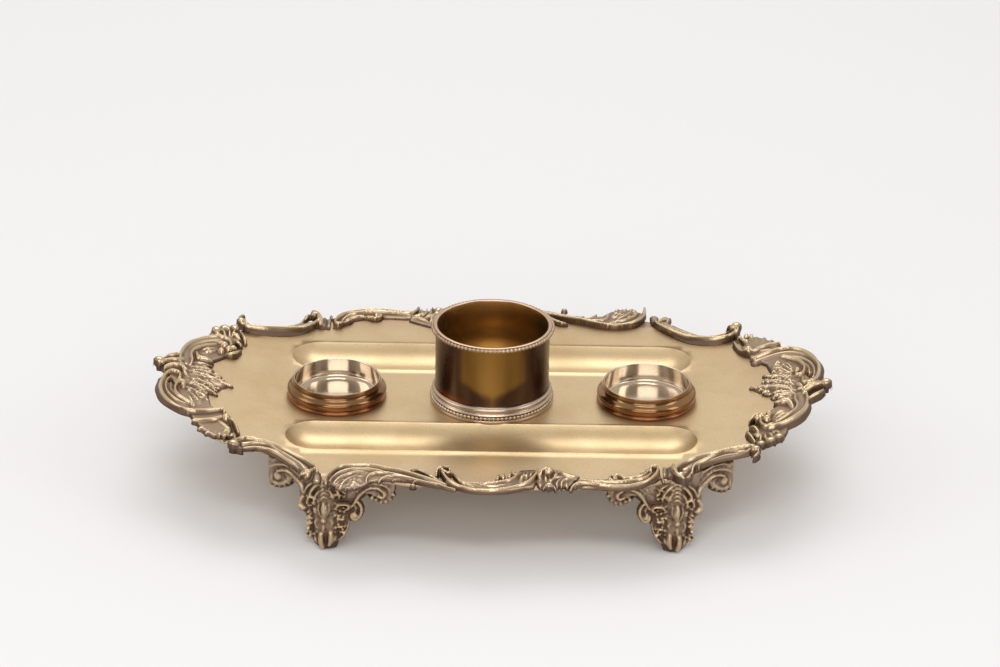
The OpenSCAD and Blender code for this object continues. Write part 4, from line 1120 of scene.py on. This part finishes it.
def wear_and_light_group():
    """Wear, tarnish and painted light of a cast relief: masks for its crests (worn bright, with a painted
    highlight) and its hollows (patina, with painted shade), broken by noise.
    """
    tree, given, out = shader_group(
        "cast wear", [("Crest", "f", 0.5), ("Hollow", "f", -0.4), ("Breakup", "f", 0.35)],
        [("Crest wear and highlight", "f"), ("Hollow patina and shade", "f"), ("Mottle", "f"), ("Grain", "f")])
    relief = tree.nodes.new("ShaderNodeAttribute")
    relief.attribute_name = "relief"
    coarse = noise(tree, 160.0, 5.0)
    fine = noise(tree, 900.0, 3.0)
    value = shaken(tree, relief.outputs["Fac"], coarse, given.outputs["Breakup"])
    tree.links.new(ramp(tree, value, 0.0, given.outputs["Crest"]), out.inputs["Crest wear and highlight"])
    dark = math_node(tree, "SUBTRACT", 1.0, ramp(tree, value, given.outputs["Hollow"], 0.12))
    tree.links.new(dark, out.inputs["Hollow patina and shade"])
    tree.links.new(ramp(tree, noise(tree, 55.0, 4.0), 0.35, 0.7), out.inputs["Mottle"])
    tree.links.new(plus(tree, fine, times(tree, coarse, 0.6)), out.inputs["Grain"])
    return tree


def scratch_group():
    """Fine scratches, speckle and soft stains of a worn plated surface."""
    tree, _, out = shader_group(
        "worn plate", [], [("Stain", "f"), ("Speckle", "f"), ("Scratch", "f"), ("Unevenness", "f")])
    a = noise(tree, 90.0, 4.0, 0.6, (1.0, 14.0, 1.0))
    b = noise(tree, 70.0, 4.0, 0.6, (12.0, 1.0, 1.0))
    lines = math_node(tree, "MAXIMUM", ramp(tree, a, 0.62, 0.72), ramp(tree, b, 0.64, 0.74))
    tree.links.new(ramp(tree, noise(tree, 26.0, 5.0), 0.38, 0.72), out.inputs["Stain"])
    tree.links.new(ramp(tree, noise(tree, 1100.0, 2.0), 0.52, 0.72), out.inputs["Speckle"])
    tree.links.new(lines, out.inputs["Scratch"])
    tree.links.new(noise(tree, 34.0, 2.0), out.inputs["Unevenness"])
    return tree


def material(name, roughness, metallic=1.0):
    """A new material with its node tree and its shader."""
    mat = bpy.data.materials.new(name)
    mat.use_nodes = True
    tree = mat.node_tree
    shader = tree.nodes["Principled BSDF"]
    shader.inputs["Metallic"].default_value = metallic
    shader.inputs["Roughness"].default_value = roughness
    return mat, tree, shader


def place_group(tree, group, **values):
    """Puts a group in a finish and gives what comes out of it."""
    n = tree.nodes.new("ShaderNodeGroup")
    n.node_tree = group
    for key, v in values.items():
        n.inputs[key].default_value = v
    return n.outputs


def own_place(tree):
    """A spot's three coordinates in the object's frame, in metres."""
    at = tree.nodes.new("ShaderNodeTexCoord")
    apart = tree.nodes.new("ShaderNodeSeparateXYZ")
    tree.links.new(at.outputs["Object"], apart.inputs["Vector"])
    return apart.outputs


def away_from(tree, x, y):
    """Distance in the plan from the line where x and y are nought."""
    return math_node(tree, "SQRT", plus(tree, times(tree, x, x), times(tree, y, y)))


def coat(tree, shader, colour, rough):
    """Joins a colour and a roughness to the shader."""
    tree.links.new(colour, shader.inputs["Base Color"])
    tree.links.new(rough, shader.inputs["Roughness"])


def bump(tree, shader, height, strength, distance):
    n = tree.nodes.new("ShaderNodeBump")
    n.inputs["Strength"].default_value = strength
    n.inputs["Distance"].default_value = distance
    tree.links.new(height, n.inputs["Height"])
    tree.links.new(n.outputs["Normal"], shader.inputs["Normal"])


def cast_material(name, group, bright, plain, dark, warm, roughness):
    """Cast metal, worn bright with a painted highlight on its crests, and dark with patina and painted shade
    in its hollows, low edges and underside.
    """
    mat, tree, shader = material(name, roughness)
    wear_and_light = place_group(tree, group, Crest=0.5, Hollow=-0.45)
    colour = mix(tree, wear_and_light["Mottle"], plain, warm)
    # Crests: rubbed wear with a painted highlight. Hollows: patina with painted shade.
    colour = mix(tree, wear_and_light["Crest wear and highlight"], colour, bright)
    colour = mix(tree, wear_and_light["Hollow patina and shade"], colour, dark)
    coat(tree, shader, colour, plus(tree, times(tree, wear_and_light["Hollow patina and shade"], 0.25), roughness))
    bump(tree, shader, wear_and_light["Grain"], 0.35, 0.00012)
    return mat


def plate_material(group):
    """Satin champagne plate with a soft grey bloom near the border."""
    mat, tree, shader = material("champagne plate", 0.3, 0.85)
    worn = place_group(tree, group)
    x, y, _ = own_place(tree)
    far_x = math_node(tree, "DIVIDE", math_node(tree, "ABSOLUTE", x), 0.145)
    far_y = math_node(tree, "DIVIDE", math_node(tree, "ABSOLUTE", y), 0.088)
    out_there = math_node(tree, "MAXIMUM", far_x, far_y)
    bloom = ramp(tree, shaken(tree, out_there, worn["Unevenness"], 0.3), 0.72, 1.0)
    colour = mix(tree, worn["Stain"], srgb(212, 188, 148), srgb(196, 170, 129))
    colour = mix(tree, times(tree, bloom, 0.65), colour, srgb(186, 160, 136))
    colour = mix(tree, times(tree, worn["Speckle"], 0.16), colour, srgb(128, 96, 62))
    colour = mix(tree, times(tree, worn["Scratch"], 0.12), colour, srgb(240, 218, 184))
    rough = plus(tree, times(tree, worn["Stain"], 0.06), 0.34)
    coat(tree, shader, colour, plus(tree, rough, times(tree, bloom, 0.08)))
    bump(tree, shader, worn["Unevenness"], 0.25, 0.0006)
    return mat


def gallery_material(group):
    """Dark tarnish, with a painted olive-gold reflection in front, orange low down on its left, and a painted
    gold highlight on the wall's inner side.
    """
    mat, tree, shader = material("gallery tarnish and painted reflection", 0.3)
    worn = place_group(tree, group)
    x, y, z = own_place(tree)
    streak = noise(tree, 120.0, 3.0, 0.5, (1.6, 1.6, 0.12))
    # Painted reflection: an olive-gold band down the middle of the wall's front, where it faces the camera.
    reflection_band = shaken(tree, math_node(tree, "ABSOLUTE", x), streak, 0.008)
    reflection_band = plus(tree, reflection_band, times(tree, ramp(tree, z, 0.056, 0.046), 0.012))
    front = times(tree, ramp(tree, reflection_band, 0.0165, 0.0085), ramp(tree, y, 0.0, -0.01))
    low = ramp(tree, plus(tree, z, times(tree, streak, 0.006)), 0.0505, 0.044)
    left = times(tree, low, ramp(tree, x, -0.008, -0.02))
    colour = mix(tree, streak, srgb(66, 48, 36), srgb(98, 80, 70))
    colour = mix(tree, front, colour, srgb(148, 119, 70))
    colour = mix(tree, times(tree, left, 0.8), colour, srgb(180, 104, 56))
    # The wall's inner side carries a painted gold highlight; its rolled top and its base moulding are
    # brighter
    colour = mix(tree, ramp(tree, away_from(tree, x, y), 0.0257, 0.0255), colour, srgb(188, 155, 100))
    colour = mix(tree, ramp(tree, z, 0.0712, 0.0728), colour, srgb(206, 176, 150))
    colour = mix(tree, ramp(tree, z, 0.0437, 0.0427), colour, srgb(196, 178, 160))
    coat(tree, shader, colour, plus(tree, times(tree, worn["Stain"], 0.12), 0.22))
    bump(tree, shader, worn["Unevenness"], 0.2, 0.0005)
    return mat


def collar_material(group):
    """Polished plate, mirror bright inside and worn to copper low on the outside."""
    mat, tree, shader = material("collar plate", 0.14)
    worn = place_group(tree, group)
    x, y, z = own_place(tree)
    side = math_node(tree, "SUBTRACT", math_node(tree, "ABSOLUTE", x), COLLAR_X * MM)
    inside = ramp(tree, away_from(tree, side, y), 0.0197, 0.0194)
    low = ramp(tree, plus(tree, z, times(tree, worn["Unevenness"], 0.002)), 0.0425, 0.0385)
    colour = mix(tree, worn["Stain"], srgb(158, 122, 86), srgb(120, 86, 58))
    colour = mix(tree, low, colour, srgb(146, 98, 66))
    colour = mix(tree, inside, colour, srgb(224, 211, 194))
    colour = mix(tree, times(tree, worn["Speckle"], 0.15), colour, srgb(110, 76, 48))
    coat(tree, shader, colour, plus(tree, times(tree, worn["Stain"], 0.1), 0.12))
    bump(tree, shader, worn["Unevenness"], 0.12, 0.0005)
    return mat


def bead_material(group):
    """Silver with dark speckle, for the beaded wires."""
    mat, tree, shader = material("bead silver", 0.26)
    worn = place_group(tree, group)
    colour = mix(tree, worn["Stain"], srgb(206, 186, 160), srgb(150, 122, 96))
    colour = mix(tree, times(tree, worn["Speckle"], 0.3), colour, srgb(84, 60, 42))
    coat(tree, shader, colour, plus(tree, times(tree, worn["Stain"], 0.15), 0.2))
    return mat


# Stage


def set_camera():
    """The camera that a fit of the photograph's straight lines and rings gave."""
    cam = bpy.data.cameras.new("camera")
    cam.sensor_width = 36.0
    cam.lens = FOCAL_PIXELS * cam.sensor_width / PICTURE[0]
    cam.clip_start, cam.clip_end = 0.05, 50.0
    rig = bpy.data.objects.new("camera", cam)
    bpy.context.scene.collection.objects.link(rig)
    rows = [[CAM_RIGHT[k], CAM_UP[k], CAM_BACK[k], CAM_PLACE[k] * MM] for k in range(3)]
    rig.matrix_world = Matrix(rows + [[0, 0, 0, 1]])
    bpy.context.scene.camera = rig


FLOOR_HALF = 6.0
MIRRORED_ROOM, SOFT_ROOM, SEEN_ROOM = 0.86, 0.66, 1.0
# Name, place and aim, and two sides in metres, and power in watts
LAMPS = (("overhead lamp", (0.0, 0.85, 1.36), (0, 0, 0.04), (1.2, 0.9), 6),
         ("narrow lamp", (0.06, 0.85, 1.36), (0, 0, 0.04), (0.7, 0.2), 0.6),
         ("front lamp", (-0.1, -1.6, 0.7), (0, 0, 0.02), (1.6, 0.8), 8),
         ("high front lamp", (0.0, -0.85, 1.36), (0, 0, 0.06), (1.0, 0.3), 4),
         ("left lamp", (-1.4, -0.2, 0.9), (0, 0, 0.04), (0.8, 0.8), 3),
         ("right lamp", (1.3, -0.5, 0.8), (0, 0, 0.04), (0.5, 0.9), 2.5))


def lamp(name, place, aim, size, power):
    light = bpy.data.lights.new(name, "AREA")
    light.shape = "RECTANGLE"
    light.size, light.size_y = size
    light.energy = power
    holder = bpy.data.objects.new(name, light)
    bpy.context.scene.collection.objects.link(holder)
    holder.location = place
    holder.rotation_euler = (Vector(aim) - Vector(place)).to_track_quat("-Z", "Y").to_euler()


def set_floor():
    """Pale paper that keeps the shadow."""
    mesh = bpy.data.meshes.new("floor")
    corners = [(x * FLOOR_HALF, y * FLOOR_HALF, 0) for x, y in ((-1, -1), (1, -1), (1, 1), (-1, 1))]
    mesh.from_pydata(corners, [], [(0, 1, 2, 3)])
    floor = bpy.data.objects.new("floor", mesh)
    bpy.context.scene.collection.objects.link(floor)
    mat, _, shader = material("pale paper", 0.9, 0.0)
    shader.inputs["Base Color"].default_value = srgb(231, 230, 231)
    mesh.materials.append(mat)


def set_room():
    """A pale room, whose reflections are dimmer in front and low than behind and overhead."""
    world = bpy.data.worlds.new("pale room")
    bpy.context.scene.world = world
    world.use_nodes = True
    tree = world.node_tree
    tree.nodes.clear()
    out = tree.nodes.new("ShaderNodeOutputWorld")
    at = tree.nodes.new("ShaderNodeTexCoord")
    apart = tree.nodes.new("ShaderNodeSeparateXYZ")
    tree.links.new(at.outputs["Generated"], apart.inputs["Vector"])
    back = ramp(tree, plus(tree, apart.outputs["Y"], times(tree, apart.outputs["Z"], 0.8)), -0.55, 0.45)
    shade = mix(tree, back, srgb(136, 124, 112), srgb(240, 236, 230))
    rooms = [tree.nodes.new("ShaderNodeBackground") for _ in range(3)]
    for room, strength in zip(rooms, (MIRRORED_ROOM, SOFT_ROOM, SEEN_ROOM)):
        room.inputs["Strength"].default_value = strength
    mirrored, soft, seen = rooms
    tree.links.new(shade, mirrored.inputs["Color"])
    soft.inputs["Color"].default_value = srgb(255, 253, 250)
    seen.inputs["Color"].default_value = srgb(243, 242, 242)
    ray = tree.nodes.new("ShaderNodeLightPath")
    inner, outer = (tree.nodes.new("ShaderNodeMixShader") for _ in range(2))
    for node, kind, off, on in ((inner, "Is Glossy Ray", soft, mirrored),
                                (outer, "Is Camera Ray", inner, seen)):
        tree.links.new(ray.outputs[kind], node.inputs["Fac"])
        tree.links.new(off.outputs[0], node.inputs[1])
        tree.links.new(on.outputs[0], node.inputs[2])
    tree.links.new(outer.outputs[0], out.inputs["Surface"])


# The object


def dress(piece, finish, nodes):
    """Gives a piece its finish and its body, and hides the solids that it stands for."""
    if piece.data.materials:
        piece.data.materials.clear()
    piece.data.materials.append(finish)
    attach(piece, "root")
    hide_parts(*nodes)


def gallery_profile():
    """The gallery's wall with its base mouldings and its rolled top, from inside up and over."""
    inner, outer, high = 25.3, 26.0, 37.3
    out = [(inner, 0.0), (28.1, 0.0), (28.1, 1.3), (27.9, 1.5), (26.9, 1.5), (26.6, 2.4), (26.9, 3.3),
           (27.5, 3.4), (27.3, 3.75), (26.7, 4.2), (26.5, 4.4)]
    out += arc(26.05, 5.75, 1.3, -72, 72, 11)
    out += [(26.35, 7.15), (26.1, 7.7), (outer, 8.4), (outer, 20.0), (outer, 34.3), (26.1, 34.7),
            (26.9, 34.9), (27.1, 35.1), (26.6, 35.6), (26.5, 36.2), (26.6, 36.8), (26.95, 37.1)]
    out += [(26.8, high), (25.7, high), (25.4, high - 0.15), (inner, high - 0.4), (inner, 20.0)]
    return out


def collar_profile():
    """A collar from the middle of its underside, out over its lip and in along its floor."""
    bore, high = 19.2, 9.3
    rows = [(0.0, 0.0), (21.9, 0.0)]
    rows += arc(21.9, 0.85, 0.85, -70, 88, 9)
    rows += [(21.95, 1.78), (22.1, 2.0), (22.5, 2.6), (22.68, 3.4), (22.7, 4.2), (22.45, 5.0), (21.9, 5.7),
             (21.1, 6.25), (20.5, 6.8), (20.2, 7.5), (20.05, 8.2), (19.98, 8.6)]
    rows += arc(bore + 0.375, high - 0.375, 0.42, -20, 190, 10)
    rows += [(bore, 8.4), (bore, 4.0), (bore - 0.05, 1.1), (bore - 0.35, 0.7), (bore - 0.9, 0.52),
             (10.0, 0.5), (0.0, 0.5)]
    return rows


def build():
    """Makes every piece, the twins of the border and feet by half a turn, and dresses them."""
    cast, plate = wear_and_light_group(), scratch_group()
    # For both finishes, the colours are: crests worn bright with a painted highlight, plain metal, hollows
    # with patina and painted shade, and a warm mottle.
    silver = cast_material("antique silver", cast, srgb(210, 188, 153), srgb(176, 154, 126),
                           srgb(112, 91, 76), srgb(160, 139, 125), 0.25)
    bronze = cast_material("foot bronze", cast, srgb(202, 177, 142), srgb(160, 141, 121),
                           srgb(104, 85, 72), srgb(150, 124, 101), 0.32)
    made = []
    for name, relief in (("front_left_corner_scroll", front_left_corner()),
                         ("front_right_corner_scroll", front_right_corner()),
                         ("front_leaf_scroll", leaf_scroll_relief()),
                         ("front_centre_scroll", centre_relief()),
                         ("front_bud_spray", bud_relief()),
                         ("front_ribbon_scroll", ribbon_relief()),
                         ("left_end_mount", end_relief())):
        piece = relief.solid(name + "_relief", on_plate)
        twin_name = name.replace("front", "rear") if "front" in name else "right_end_mount"
        if "corner" in name:
            twin_name = "rear_right_corner_scroll" if "left" in name else "rear_left_corner_scroll"
        twin = copy_of(piece, twin_name + "_relief")
        made += [(piece, silver, [name], "border_silver"), (twin, silver, [twin_name], "border_silver")]
    foot = foot_relief()
    left = foot.solid("front_left_foot_relief", foot_place(-1, LEFT_TOE))
    right = flipped(foot.solid("front_right_foot_relief", foot_place(1, RIGHT_TOE)))
    for piece, name, twin_name in ((left, "front_left_foot", "rear_right_foot"),
                                   (right, "front_right_foot", "rear_left_foot")):
        twin = copy_of(piece, twin_name + "_relief")
        made += [(piece, bronze, [name], "foot_bronze"), (twin, bronze, [twin_name], "foot_bronze")]
    made.append((tray_piece(), plate_material(plate), ["tray"], "tray_plate"))
    made.append((spun("gallery", gallery_profile(), (0, 0)), gallery_material(plate),
                 ["gallery_wall"], "gallery_plate"))
    collar = collar_material(plate)
    for name, x in (("left", -COLLAR_X), ("right", COLLAR_X)):
        made.append((spun_cup(name + "_collar", collar_profile(), (x, 0)), collar,
                     [name + "_bottle_collar"], "collar_plate"))
    beads = bead_material(plate)
    tree, sizes = bead_tree()
    for name, height in (("gallery_top_beads", TOP_BEADS), ("gallery_base_beads", BASE_BEADS)):
        wire = beaded_wire(name + "_wire", tree, sizes, height, beads)
        made.append((wire, beads, [name], "beads"))
    for piece, finish, nodes, slot in made:
        dress(piece, finish, nodes)


bpy.context.scene.view_settings.view_transform = "Standard"
set_camera()
set_floor()
set_room()
for row in LAMPS:
    lamp(*row)
build()
